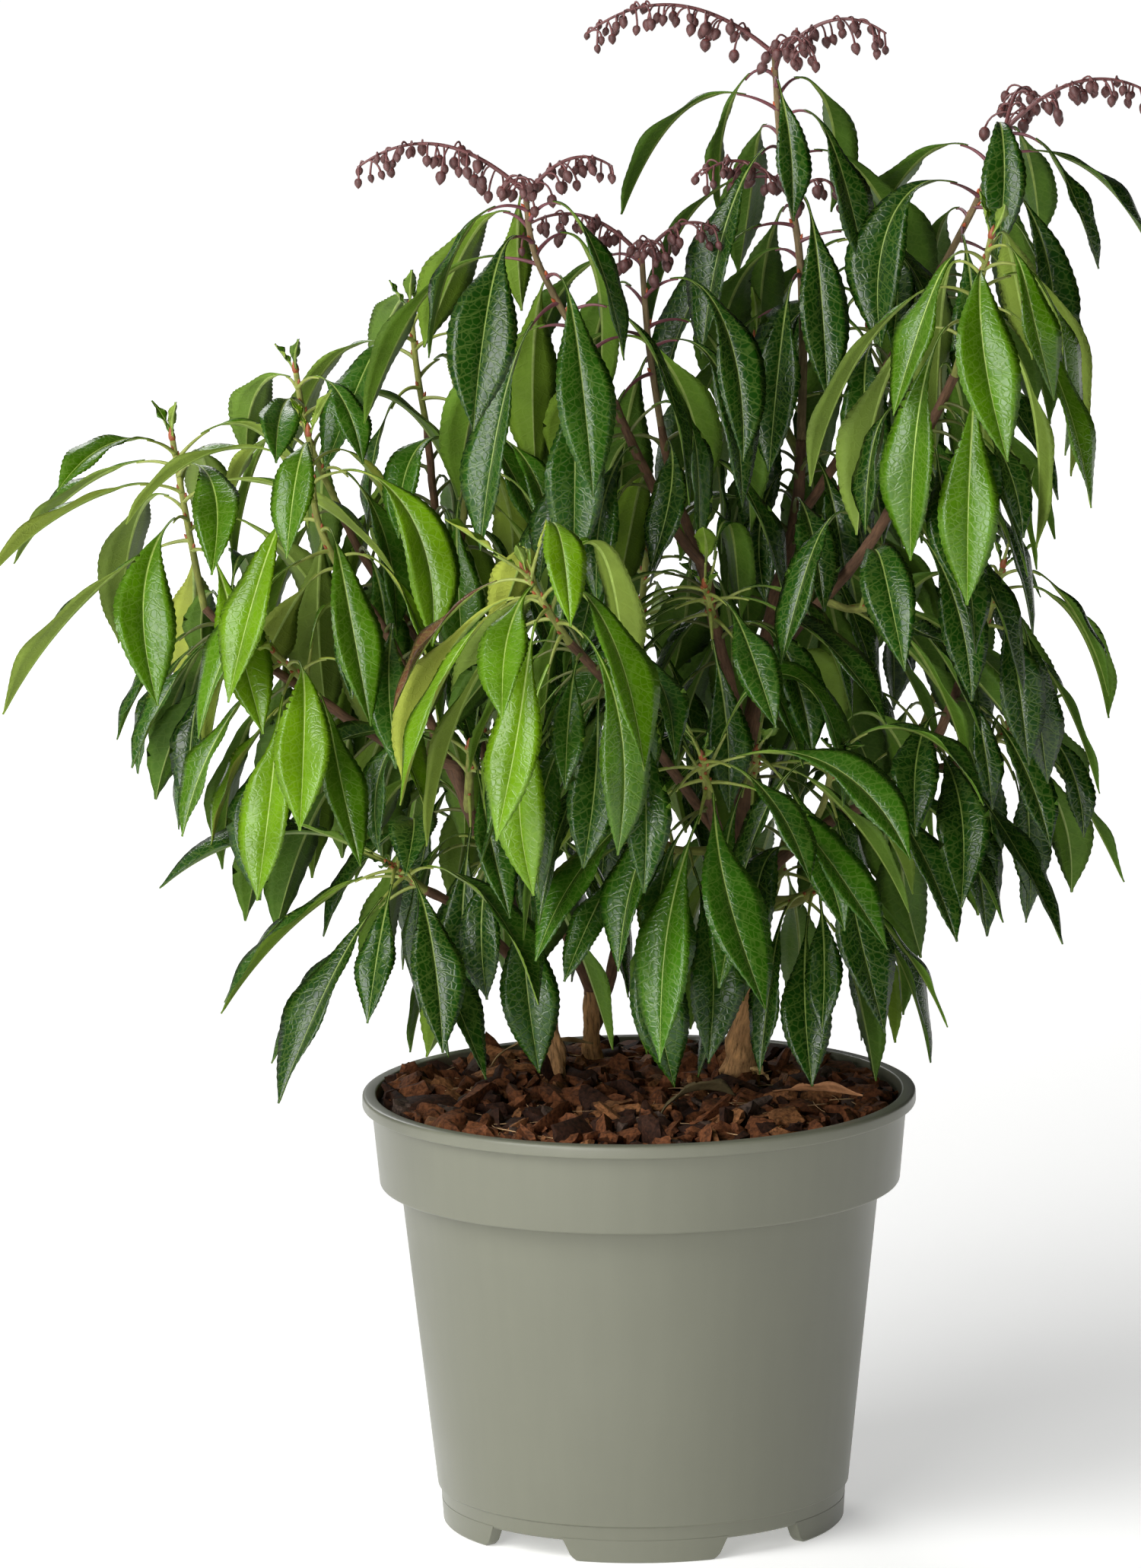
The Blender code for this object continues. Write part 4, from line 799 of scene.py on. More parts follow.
def linear(code):
    """Linear RGB of an sRGB hex value."""
    value = np.array([int(code[i:i + 2], 16) for i in (1, 3, 5)]) / 255
    curve = np.where(value <= 0.04045, value / 12.92, ((value + 0.055) / 1.055) ** 2.4)
    return tuple(float(v) for v in curve)


def setting(kind, name, description, default, **limits):
    """A setting of a kind of number, with its default and its limits or unit."""
    return kind(name=name, description=description, default=default, **limits)


def color_setting(name, description, code):
    """A colour setting whose default is an sRGB hex value."""
    return FloatVectorProperty(name=name, description=description, subtype="COLOR", size=3, min=0, max=1,
                               default=linear(code))


class LeafSettings(PropertyGroup):
    """Sizes and colours of the leaves."""

    tooth: setting(FloatProperty, "Tooth", "Depth of a margin tooth", 0.00020, unit="LENGTH")
    vein_spacing: setting(FloatProperty, "Vein spacing", "Distance between side veins, in mm", 5.2, min=1)
    # The undersides are paler than the tops, as the real leaves are, and lighter still as painted light
    # shining through the leaf from behind
    bright_top: color_setting("Bright top", "Upper side of young leaves", "#4d7806")
    bright_under: color_setting("Bright underside", "Lower side of young leaves", "#82973a")
    mid_top: color_setting("Mid top", "Upper side of half-grown leaves", "#2c5808")
    mid_under: color_setting("Mid underside", "Lower side of half-grown leaves", "#68862c")
    dark_top: color_setting("Dark top", "Upper side of old leaves", "#1c4307")
    dark_under: color_setting("Dark underside", "Lower side of old leaves", "#52741c")
    aging: color_setting("Aging leaf", "The one leaf that is turning brown", "#5c3826")
    rib: color_setting("Midrib", "Pale midrib", "#9db556")
    green_stalk: color_setting("Green stalk", "Leaf stalk on leafy shoots", "#8f9a48")
    red_stalk: color_setting("Red stalk", "Leaf stalk on flowering shoots", "#744349")


class BudSettings(PropertyGroup):
    """Sizes and colours of the sprays of buds."""

    length: setting(FloatProperty, "Bud length", "Length of a closed bud", 0.0047, unit="LENGTH")
    width: setting(FloatProperty, "Bud width", "Greatest width of a bud", 0.0034, unit="LENGTH")
    per_spray: setting(IntProperty, "Buds", "Buds on a spray of full length", 31, min=1)
    bud: color_setting("Bud", "Closed buds", "#5c3a38")
    calyx: color_setting("Calyx", "Sepals at the head of a bud", "#774440")
    stalk: color_setting("Bud stalk", "Stalks of the sprays", "#6e4342")


class BarkSettings(PropertyGroup):
    """Sizes and colours of trunks, boughs and stems."""

    relief: setting(FloatProperty, "Relief", "Depth of the bark's furrows", 0.0010, unit="LENGTH")
    trunk: color_setting("Trunk", "Old bark on the trunks", "#c2925f")
    bough: color_setting("Bough", "Bark on the boughs", "#6c4e38")
    leafy_stem: color_setting("Leafy stem", "Young stems of leafy shoots", "#8f9348")
    flower_stem: color_setting("Flowering stem", "Young stems under the buds", "#7d6a4a")
    side_bud: color_setting("Side bud", "Little buds at the foot of the leaf stalks", "#b4562f")


class PotSettings(PropertyGroup):
    """Colour and gloss of the pot."""

    plastic: color_setting("Plastic", "Grey-green moulded plastic", "#717263")
    roughness: setting(FloatProperty, "Roughness", "Gloss of the plastic", 0.36, min=0, max=1)


class MulchSettings(PropertyGroup):
    """Number, sizes and colours of the bark chips."""

    chips: setting(IntProperty, "Chips", "Number of bark chips", 900, min=1)
    chip_length: setting(FloatProperty, "Chip length", "Usual length of a chip", 0.0112, unit="LENGTH")
    fibers: setting(IntProperty, "Fibres", "Number of loose bark fibres", 130, min=0)
    red_chip: color_setting("Red chip", "Reddish-brown bark", "#5f3820")
    dark_chip: color_setting("Dark chip", "Dark wet bark", "#2f1b11")
    tan_chip: color_setting("Tan chip", "Dry tan bark", "#7c5232")
    gray_chip: color_setting("Grey chip", "Weathered bark", "#463830")
    fiber: color_setting("Fibre", "Pale bark fibres", "#b3916a")
    peat: color_setting("Peat", "Peat between the chips", "#2c1a12")
    dead_leaf: color_setting("Dead leaf", "Dry fallen leaves", "#8b6f4c")


class StageSettings(PropertyGroup):
    """Floor and light."""

    floor: color_setting("Floor", "Plain pale floor", "#f6f6f4")
    glow: setting(FloatProperty, "Glow", "Light that the floor gives, as a light table does", 0.38, min=0)
    far_glow: setting(FloatProperty, "Far glow", "The same far from the plant", 0.92, min=0)
    key_power: setting(FloatProperty, "Key light", "Power of the light at the upper left", 46, unit="POWER")
    front_power: setting(FloatProperty, "Front light", "Power of the light at the front left", 36,
                         unit="POWER")
    back_power: setting(FloatProperty, "Back light", "Power of the light behind", 16, unit="POWER")
    sky: setting(FloatProperty, "Sky", "Strength of the light from above", 0.22, min=0)
    front: setting(FloatProperty, "Front", "Share of the sky's light on the front side", 0.12, min=0, max=1)


def settings(group):
    """The settings group of this name, kept on the scene."""
    return getattr(bpy.context.scene, "pieris_" + group)


def shade(color, light=1.0, warm=1.0):
    """A colour made lighter or darker, and warmer by its red, with full opacity."""
    red, green, blue = color
    return min(1.0, red * light * warm), min(1.0, green * light), min(1.0, blue * light), 1.0


def node(tree, kind, inputs=None, stops=None, **values):
    """Adds a shader node, gives it its settings, inputs or links, and ramp stops, and returns its outputs."""
    made = tree.nodes.new(kind)
    for key, value in values.items():
        setattr(made, key, value)
    for key, value in (inputs or {}).items():
        if isinstance(value, bpy.types.NodeSocket):
            tree.links.new(value, made.inputs[key])
        else:
            made.inputs[key].default_value = value
    if stops:
        elements = made.color_ramp.elements
        elements[0].position, elements[1].position = stops[0][0], stops[-1][0]
        for place, _ in stops[1:-1]:
            elements.new(place)
        for element, (_, value) in zip(elements, stops):
            element.color = value if isinstance(value, tuple) else (value, value, value, 1.0)
    return made.outputs


def material(name, color, roughness):
    """A new material with a plain Principled shader: the material, its tree and the shader's inputs."""
    made = bpy.data.materials.new(name)
    made.use_nodes = True
    made.diffuse_color = shade(color)
    inputs = made.node_tree.nodes["Principled BSDF"].inputs
    inputs["Base Color"].default_value = shade(color)
    inputs["Roughness"].default_value = roughness
    return made, made.node_tree, inputs


def leaf_skin(name, color, under):
    """Leaf skin, waxed above and dull below; its veins are sunk above and raised below.

    The skin coordinates are millimetres along and across the blade. A side vein is a narrow band where
    (along - 0.9 across + 0.03 across squared) / spacing is near a whole number; the net between them is the
    edges of cells about 2 mm wide.
    """
    made, tree, inputs = material(name, color, 0.6 if under else 0.27)
    inputs["Specular IOR Level"].default_value = 0.2 if under else 0.42
    values = settings("leaf")
    place = node(tree, "ShaderNodeAttribute", attribute_name="skin_mm")["Vector"]
    split = node(tree, "ShaderNodeSeparateXYZ", {0: place})
    across = node(tree, "ShaderNodeMath", {0: split[1]}, operation="ABSOLUTE")[0]
    bent = node(tree, "ShaderNodeMath", {0: across, 1: 0.03, 2: -0.9}, operation="MULTIPLY_ADD")[0]
    slant = node(tree, "ShaderNodeMath", {0: across, 1: bent, 2: split[0]}, operation="MULTIPLY_ADD")[0]
    warp = node(tree, "ShaderNodeTexNoise", {"Vector": place, "Scale": 0.22, "Detail": 2.0})[0]
    slant = node(tree, "ShaderNodeMath", {0: warp, 1: 2.4, 2: slant}, operation="MULTIPLY_ADD")[0]
    phase = node(tree, "ShaderNodeMath", {0: slant, 1: values.vein_spacing}, operation="DIVIDE")[0]
    side = node(tree, "ShaderNodeMath", {0: phase, 1: 0.5}, operation="PINGPONG")[0]
    side = node(tree, "ShaderNodeValToRGB", {0: side}, ((0.0, 1.0), (0.03, 0.8), (0.08, 0.0)))[0]
    cells = node(tree, "ShaderNodeTexVoronoi", {"Vector": place, "Scale": 0.48},
                 feature="DISTANCE_TO_EDGE")[0]
    net = node(tree, "ShaderNodeValToRGB", {0: cells}, ((0.0, 0.75), (0.06, 0.4), (0.14, 0.0)))[0]
    veins = node(tree, "ShaderNodeMath", {0: side, 1: net}, operation="MAXIMUM")[0]
    blotch = node(tree, "ShaderNodeTexNoise", {"Vector": place, "Scale": 0.06, "Detail": 3.0})[0]
    stops = ((0.3, shade(color, 0.8)), (0.7, shade(color, 1.2)))
    tone = node(tree, "ShaderNodeValToRGB", {0: blotch}, stops)[0]
    pale = tuple(0.5 * a + 0.5 * b for a, b in zip(color, values.rib))
    share = node(tree, "ShaderNodeMath", {0: veins, 1: 0.15 if under else 0.30}, operation="MULTIPLY")[0]
    skin = node(tree, "ShaderNodeMix", {0: share, 6: tone, 7: shade(pale)}, data_type="RGBA")[2]
    tree.links.new(skin, inputs["Base Color"])
    height = node(tree, "ShaderNodeMath", {0: veins, 1: 1.0 if under else -1.0}, operation="MULTIPLY")[0]
    normal = node(tree, "ShaderNodeBump", {"Height": height, "Distance": 0.00016, "Strength": 0.5})[0]
    tree.links.new(normal, inputs["Normal"])
    return made


@lru_cache(maxsize=None)
def leaf_skins(kind):
    """Skins for leaves of one kind: the tones above, those below, the midrib and a leaf about to fall."""
    values = settings("leaf")
    top, under = getattr(values, kind + "_top"), getattr(values, kind + "_under")
    tops = [leaf_skin(f"waxed_leaf_{kind}_{i}", shade(top, *tone)[:3], False) for i, tone in enumerate(TONES)]
    # The underside colours are partly the leaf's own paler green and partly painted light shining through the
    # leaf
    lows = [leaf_skin(f"leaf_underside_{kind}_{i}", shade(under, *tone)[:3], True)
            for i, tone in enumerate(TONES)]
    rib = plant_skin("midrib_" + kind, shade(values.rib, RIB_LIGHT[kind])[:3])
    return tops + lows + [rib, leaf_skin("aging_leaf_" + kind, values.aging, False)]


def plant_skin(name, color, roughness=0.48, spread=0.18):
    """Living rind, as on stalks, ribs and buds: a soft sheen and slight blotches about 2 mm wide."""
    made, tree, inputs = material(name, color, roughness)
    place = node(tree, "ShaderNodeTexCoord")["Object"]
    blotch = node(tree, "ShaderNodeTexNoise", {"Vector": place, "Scale": 480.0, "Detail": 3.0})[0]
    stops = ((0.3, shade(color, 1 - spread)), (0.7, shade(color, 1 + spread)))
    tree.links.new(node(tree, "ShaderNodeValToRGB", {0: blotch}, stops)[0], inputs["Base Color"])
    normal = node(tree, "ShaderNodeBump", {"Height": blotch, "Distance": 0.0001, "Strength": 0.4})[0]
    tree.links.new(normal, inputs["Normal"])
    return made


def bark_skin(name, color, fiber_width, depth, dark):
    """Stringy bark, dull: pale raised fibres over dark furrows, drawn out five times along the limb.

    The skin coordinates are millimetres round and along the limb, so the fibres follow it round every bend.
    """
    made, tree, inputs = material(name, color, 0.88)
    place = node(tree, "ShaderNodeAttribute", attribute_name="skin_mm")["Vector"]
    drawn = node(tree, "ShaderNodeMapping", {"Vector": place, "Scale": (1.0, 1.0, 0.2)})[0]
    fibers = node(tree, "ShaderNodeTexNoise",
                  {"Vector": drawn, "Scale": 1 / fiber_width, "Detail": 5.0, "Roughness": 0.65})[0]
    patch = node(tree, "ShaderNodeTexNoise", {"Vector": place, "Scale": 0.12, "Detail": 2.0})[0]
    stops = ((0.30, shade(color, dark)), (0.47, shade(color, 0.9)), (0.72, shade(color, 1.5)))
    tone = node(tree, "ShaderNodeValToRGB", {0: fibers}, stops)[0]
    worn = node(tree, "ShaderNodeValToRGB", {0: patch}, ((0.35, 0.68), (0.65, 1.0)))[0]
    skin = node(tree, "ShaderNodeMix", {0: 1.0, 6: tone, 7: worn}, data_type="RGBA", blend_type="MULTIPLY")[2]
    tree.links.new(skin, inputs["Base Color"])
    normal = node(tree, "ShaderNodeBump", {"Height": fibers, "Distance": depth, "Strength": 0.9})[0]
    tree.links.new(normal, inputs["Normal"])
    return made


def dry_skin(name, color, grain, roughness=0.9, spread=0.3):
    """Dead wood, peat or dry leaf: dull, with grains of the given width in metres in lights and darks."""
    made, tree, inputs = material(name, color, roughness)
    inputs["Specular IOR Level"].default_value = 0.2
    place = node(tree, "ShaderNodeTexCoord")["Object"]
    noise = node(tree, "ShaderNodeTexNoise",
                 {"Vector": place, "Scale": 1 / grain, "Detail": 4.0, "Roughness": 0.6})[0]
    stops = ((0.3, shade(color, 1 - spread)), (0.7, shade(color, 1 + spread)))
    tree.links.new(node(tree, "ShaderNodeValToRGB", {0: noise}, stops)[0], inputs["Base Color"])
    normal = node(tree, "ShaderNodeBump", {"Height": noise, "Distance": grain / 4, "Strength": 0.8})[0]
    tree.links.new(normal, inputs["Normal"])
    return made


def plastic_skin(name, color, roughness):
    """Injection-moulded polypropylene: satin, with faint flow streaks down the wall and dusty patches."""
    made, tree, inputs = material(name, color, roughness)
    place = node(tree, "ShaderNodeTexCoord")["Object"]
    drawn = node(tree, "ShaderNodeMapping", {"Vector": place, "Scale": (1.0, 1.0, 0.08)})[0]
    streaks = node(tree, "ShaderNodeTexNoise", {"Vector": drawn, "Scale": 160.0, "Detail": 3.0})[0]
    dust = node(tree, "ShaderNodeTexNoise", {"Vector": place, "Scale": 14.0, "Detail": 3.0})[0]
    stops = ((0.35, shade(color, 0.985)), (0.65, shade(color, 1.015)))
    tone = node(tree, "ShaderNodeValToRGB", {0: streaks}, stops)[0]
    haze = node(tree, "ShaderNodeValToRGB", {0: dust}, ((0.38, 0.96), (0.65, 1.0)))[0]
    skin = node(tree, "ShaderNodeMix", {0: 1.0, 6: tone, 7: haze}, data_type="RGBA", blend_type="MULTIPLY")[2]
    tree.links.new(skin, inputs["Base Color"])
    gloss = node(tree, "ShaderNodeMapRange",
                 {0: dust, 1: 0.35, 2: 0.7, 3: roughness - 0.05, 4: roughness + 0.1})[0]
    tree.links.new(gloss, inputs["Roughness"])
    grain = node(tree, "ShaderNodeTexNoise", {"Vector": place, "Scale": 2600.0, "Detail": 2.0})[0]
    normal = node(tree, "ShaderNodeBump", {"Height": grain, "Distance": 0.00003, "Strength": 0.5})[0]
    tree.links.new(normal, inputs["Normal"])
    return made


def lofts(shape):
    """Quads and end faces of lofts given as an array (lofts, rings, sides, 3), each turned to face outwards.

    The volume inside a loft is the sum of a . (b x c) over its triangles, and it is negative when inside out.
    """
    count, rings, sides = shape.shape[:3]
    ring = np.arange(rings - 1)[:, None] * sides
    side = np.arange(sides)[None]
    after = (side + 1) % sides
    quads = np.stack((ring + side, ring + after, ring + sides + after, ring + sides + side), axis=-1)
    start = np.arange(count)[:, None, None] * rings * sides
    quads = start + quads.reshape(1, -1, 4)
    caps = np.stack((np.arange(sides)[::-1], (rings - 1) * sides + np.arange(sides)))[None] + start
    local = shape - shape.mean(axis=(1, 2), keepdims=True)
    a, b, c, d = (local.reshape(-1, 3)[quads[..., i]] for i in range(4))
    volume = (a * (np.cross(b, c) + np.cross(c, d))).sum(axis=(1, 2))
    quads[volume < 0] = quads[volume < 0][..., ::-1]
    caps[volume < 0] = caps[volume < 0][..., ::-1]
    return quads, caps


def new_piece(name, parts, materials, replaced=(), sharp=None):
    """A closed mesh object from parts, each an array of lofts, material numbers and skin coordinates in mm.

    The material numbers of a part are one number, or an array that spreads over (lofts, rings - 1, sides).
    """
    verts, faces, kinds, skins = [], [], [], []
    offset = 0
    for shape, kind, skin in parts:
        count, rings, sides = shape.shape[:3]
        quads, caps = lofts(shape)
        kind = np.broadcast_to(kind, (count, rings - 1, sides))
        faces += [quads.reshape(-1, 4) + offset, caps.reshape(-1, sides) + offset]
        kinds += [kind.ravel(), np.repeat(kind[:, 0, 0], 2)]
        verts.append(shape.reshape(-1, 3))
        skins.append(np.zeros((count * rings * sides, 3)) if skin is None else skin.reshape(-1, 3))
        offset += count * rings * sides
    mesh = bpy.data.meshes.new(name)
    corners = np.concatenate([face.ravel() for face in faces]).astype(np.int32)
    sizes = np.concatenate([np.full(len(face), face.shape[1]) for face in faces])
    mesh.vertices.add(offset)
    mesh.vertices.foreach_set("co", np.concatenate(verts).astype(np.float32).ravel())
    mesh.loops.add(len(corners))
    mesh.loops.foreach_set("vertex_index", corners)
    mesh.polygons.add(len(sizes))
    mesh.polygons.foreach_set("loop_start", np.concatenate(([0], np.cumsum(sizes)[:-1])).astype(np.int32))
    mesh.polygons.foreach_set("use_smooth", np.ones(len(sizes), bool))
    mesh.polygons.foreach_set("material_index", np.concatenate(kinds).astype(np.int32))
    place = mesh.attributes.new("skin_mm", "FLOAT_VECTOR", "POINT")
    place.data.foreach_set("vector", np.concatenate(skins).astype(np.float32).ravel())
    mesh.update(calc_edges=True)
    if sharp is not None:
        mesh.set_sharp_from_angle(angle=math.radians(sharp))
    for skin in materials:
        mesh.materials.append(skin)
    piece = bpy.data.objects.new(name, mesh)
    bpy.context.scene.collection.objects.link(piece)
    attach(piece, ROOT)
    if replaced:
        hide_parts(*replaced)
    return piece


def leaf_table(leaves):
    """Arrays of the numbers that shape each leaf, from a list of Leaf."""
    fields = ("root", "first", "pull", "droop", "length", "settle", "twist", "stalk", "width")
    return {field: np.array([getattr(leaf, field) for leaf in leaves]) for field in fields}


def leaf_curves(rows):
    """Centre lines of many leaves at once, with their side and normal at every step.

    At the share u of the length the heading has turned from `first` towards `pull` by the lean
    droop (early (1 - (1 - u)^settle) + (1 - early) u), and the line is the running sum of the headings.
    """
    u = (np.arange(FINE_STEPS) + 0.5) / FINE_STEPS
    early = EARLY_BEND * (1 - (1 - u[None]) ** rows["settle"][:, None])
    lean = (rows["droop"][:, None] * (early + (1 - EARLY_BEND) * u[None]))[..., None]
    heading = unit((1 - lean) * rows["first"][:, None] + lean * rows["pull"][:, None])
    line = rows["root"][:, None] + np.cumsum(heading, axis=1) * (rows["length"] / FINE_STEPS)[:, None, None]
    line = np.concatenate((rows["root"][:, None], line), axis=1)
    heading = np.concatenate((heading, heading[:, -1:]), axis=1)
    side = np.broadcast_to(unit(np.cross(rows["pull"], rows["first"]))[:, None], heading.shape)
    normal = np.cross(side, heading)
    turn = (rows["twist"][:, None] * np.linspace(0, 1, FINE_STEPS + 1)[None])[..., None]
    return line, side * np.cos(turn) + normal * np.sin(turn), normal * np.cos(turn) - side * np.sin(turn)


def sample(values, places):
    """Rows of `values` (leaves, steps, 3) read at places from 0 to 1, one set of places for each leaf."""
    at = np.clip(places, 0, 1) * (values.shape[1] - 1)
    low = np.minimum(at.astype(int), values.shape[1] - 2)
    part = (at - low)[..., None]
    leaf = np.arange(len(values))[:, None]
    return values[leaf, low] * (1 - part) + values[leaf, low + 1] * part


def fine_outline(t):
    """Half width as a share of the widest: sin(pi t^p) to a power that is higher below the widest place."""
    hump = np.sin(math.pi * np.clip(t, 0, 1) ** (math.log(0.5) / math.log(FINE_WIDEST_AT)))
    return np.maximum(hump, 0) ** np.where(t < FINE_WIDEST_AT, BASE_TAPER, TIP_TAPER)


def blades(rows, seed, tooth, stations):
    """Leaf blades as lofts (leaves, stations, 14, 3), and their skin coordinates.

    At the share t of the blade the half width is w = fine_outline(t) times the widest, notched by the teeth,
    and the midrib bows sideways by sin(pi t). A point at v of the half width lies v w to the side, and
    w (fold |v| - belly v^2) up, with a groove over the midrib, a rib under it and a slow wave along the
    margins. Nine points make the top, five the underside.
    """
    random = np.random.RandomState(seed)
    count = len(rows["length"])
    t = 0.006 + 0.99 * np.linspace(0, 1, stations)
    places = rows["stalk"][:, None] + t[None] * (1 - rows["stalk"])[:, None]
    line, side, normal = (sample(values, places) for values in leaf_curves(rows))
    widest = rows["width"][:, None] / 2 * FULLNESS * random.uniform(*FULLNESS_RANGE, (count, 1))
    half = np.maximum(widest * fine_outline(t)[None], LEAST_HALF_WIDTH)
    toothed = np.clip(np.minimum((t - 0.2) / 0.1, (0.97 - t) / 0.05), 0, 1)
    notch = np.where(np.arange(stations) % 2 == 0, 1.0, -1.0) * toothed
    edge = half + tooth * notch[None] * np.minimum(1, half / 0.004)
    bow = SIDE_BOW * random.uniform(-1, 1, (count, 1)) * np.sin(math.pi * t[None])
    line = line + side * (bow * rows["length"][:, None] / FULL_LENGTH)[..., None]
    ones = np.ones_like(half)
    rib_top = np.minimum(RIB_HALF_TOP * (1.15 - t[None]) / half, 0.28)
    rib_under = np.minimum(RIB_HALF_UNDER * (1.15 - t[None]) / half, 0.36)
    left = [v * ones for v in TOP_ACROSS]
    right = [-v * ones for v in TOP_ACROSS[::-1]]
    under = [UNDER_ACROSS * ones, rib_under, 0 * ones, -rib_under, -UNDER_ACROSS * ones]
    v = np.stack(left + [-rib_top, 0 * ones, rib_top] + right + under, axis=-1)
    reach = np.where(np.abs(v) == 1, edge[..., None], half[..., None]) * v
    fold = BLADE_FOLD * random.uniform(*FOLD_RANGE, (count, 1, 1))
    rise = half[..., None] * (fold * np.abs(v) - BLADE_BELLY * v ** 2)
    phase = random.uniform(0, math.tau, (count, 1, 2))
    waves = WAVE_HEIGHT * np.sin(math.tau * WAVES * t[None, :, None] + phase)
    waves = waves * np.sin(math.pi * t)[None, :, None]
    rise = rise + np.where(v < 0, waves[..., :1], waves[..., 1:]) * v ** 2
    rise[..., 9:] -= (np.minimum(BLADE_THICKNESS, 0.6 * half)[..., None] * (1 - v ** 2))[..., 9:]
    rise[..., 4] -= np.minimum(GROOVE, 0.1 * half)
    rise[..., 11] -= np.minimum(RIB_DEPTH * (1.1 - t[None]), 0.5 * half)
    points = line[:, :, None] + side[:, :, None] * reach[..., None] + normal[:, :, None] * rise[..., None]
    run = (places * rows["length"][:, None])[..., None] + 0 * v
    leaf_offset = random.uniform(0, 400, (count, 1, 1)) * MM
    return points, np.stack((run + leaf_offset, reach, 0 * v), axis=-1) / MM


def leaf_piece(name, leaves, kind, replaced, seed, stations=LEAF_STATIONS, aging=None):
    """One piece of many leaves; each takes one tone above and the same below, a darker one on the right."""
    points, skin = blades(leaf_table(leaves), seed, settings("leaf").tooth, stations)
    shaded = np.array([leaf.root[0] > SHADED_X for leaf in leaves])
    drawn = np.random.RandomState(seed + 1).randint(0, len(TONES), len(leaves))
    tone = np.maximum(drawn - len(TONES) // 2 * shaded, 0)[:, None, None]
    old = np.array([leaf is aging for leaf in leaves])[:, None, None]
    top, low = np.where(old, AGING_SKIN, tone), np.where(old, AGING_SKIN, tone + len(TONES))
    rib = np.full_like(tone, RIB_SKIN)
    across = [top] * 3 + [rib] * 2 + [top] * 3 + [low] * 2 + [rib] * 2 + [low] * 2
    kinds = np.concatenate(across, axis=2)
    return new_piece(name, [(points, kinds, skin)], leaf_skins(kind), replaced)


def stalks(rows):
    """Leaf stalks as lofts: round tubes along the leaf's own curve to a little way under the blade.

    At the share s of a stalk the radius is foot - thinning s^1.5 + swelling e^(-s / 0.06).
    """
    s = np.linspace(0, 1, STALK_RINGS)
    places = s[None] * rows["stalk"][:, None] * STALK_REACH
    line, side, normal = (sample(values, places) for values in leaf_curves(rows))
    radius = STALK_FOOT - STALK_THINNING * s ** 1.5 + STALK_SWELLING * np.exp(-s / 0.06)
    sunk = normal * (STALK_SUNK * s)[:, None]
    return (line - sunk)[:, :, None] + ring_points(STALK_SIDES, side, normal) * radius[:, None, None]


def spindles(base, axis, length, width, profile, sides, ridge=0.0):
    """Turned forms as lofts, with rings of radius width / 2 times r at the share z of the length.

    The profile lists (z, r). Every second point of a ring stands out by the share `ridge`, for the seams
    between petals or sepals.
    """
    z, r = np.array(profile).T
    axis = unit(axis)
    across = unit(np.cross(axis, OFF_AXIS))
    ring = ring_points(sides, across, np.cross(axis, across))
    ring = ring * (1 + ridge * np.where(np.arange(sides) % 2, -1, 1))[:, None]
    centre = base[:, None] + axis[:, None] * (np.asarray(length)[:, None] * z)[..., None]
    radius = np.asarray(width)[:, None] / 2 * r
    return centre[:, :, None] + ring[:, None] * radius[..., None, None]


def rods(lines, radii, sides):
    """Thin tubes as lofts round short lines given as (rods, points, 3)."""
    tangent = unit(np.gradient(lines, axis=1))
    across = unit(np.cross(tangent, OFF_AXIS))
    ring = ring_points(sides, across, np.cross(tangent, across))
    return lines[:, :, None] + ring * np.broadcast_to(radii, lines.shape[:2])[..., None, None]


def limb_surface(axis, sides, relief, seed):
    """Bark as one loft along a limb from inside its parent to its tip, and its skin coordinates.

    Round the angle a and along the run s the radius is R(s) + relief (ridges - 0.6 + 0.7 knobs). The ridges
    are the weighted sum of |sin(m a / 2 + wander(s))|, rounded strings of bark between sharp furrows, cut
    into plates by |sin(pi s / plate length)|; the knobs are a product of two waves.
    """
    random = np.random.RandomState(seed)
    steps = max(12, int(axis.run[-1] / BARK_RING_STEP))
    main = smooth_path(axis.path, steps)
    run = np.linspace(0, axis.run[-1], steps)
    radii = np.interp(run, axis.run, axis.radii)
    if axis.flare:
        plain = np.linspace(axis.radii[0] - axis.flare, axis.radii[-1], steps)
        radii = plain + axis.flare * np.exp(-run / FLARE_REACH)
    hidden = np.linalg.norm(axis.inside - main[0])
    extra = max(2, int(hidden / BARK_RING_STEP))
    lead = axis.inside + (main[0] - axis.inside) * np.linspace(0, 1, extra, endpoint=False)[:, None]
    line = np.vstack((lead, main))
    radii = np.concatenate((np.full(extra, radii[0]), radii))
    run = np.concatenate(([0], np.cumsum(np.linalg.norm(np.diff(line, axis=0), axis=1))))
    angle = np.arange(sides) * math.tau / sides
    ridges = 0
    for folds, weight in ((5, 0.30), (8, 0.30), (13, 0.25), (21, 0.15)):
        wave = random.uniform(0.010, 0.030)
        phase = random.uniform(0, math.tau)
        start = random.uniform(0, math.tau)
        wander = 1.3 * np.sin(math.tau * run / wave + phase) + start
        ridges = ridges + weight * np.abs(np.sin(folds * angle[None] / 2 + wander[:, None]))
    plates = np.abs(np.sin(math.pi * run[:, None] / PLATE_LENGTH + 2.2 * np.sin(2 * angle[None] + start)))
    ridges = ridges * (0.72 + 0.28 * plates ** 0.5)
    depth = relief * np.minimum(1.0, radii / FULL_RELIEF_RADIUS)
    knobs = np.sin(run[:, None] / KNOB_LENGTH + 1.7 * np.sin(angle[None] + start))
    knobs = knobs * np.cos(2 * angle[None] + phase)
    skin = radii[:, None] + depth[:, None] * (ridges - 0.6 + 0.7 * knobs)
    _, across, up = frames(line)
    shape = line[:, None] + ring_points(sides, across, up) * skin[..., None]
    round_skin = np.stack((np.cos(angle)[None] * radii[:, None], np.sin(angle)[None] * radii[:, None],
                           run[:, None] + 0 * angle[None]), axis=-1)
    return shape[None], (round_skin / MM + random.uniform(0, 300, 3))[None]


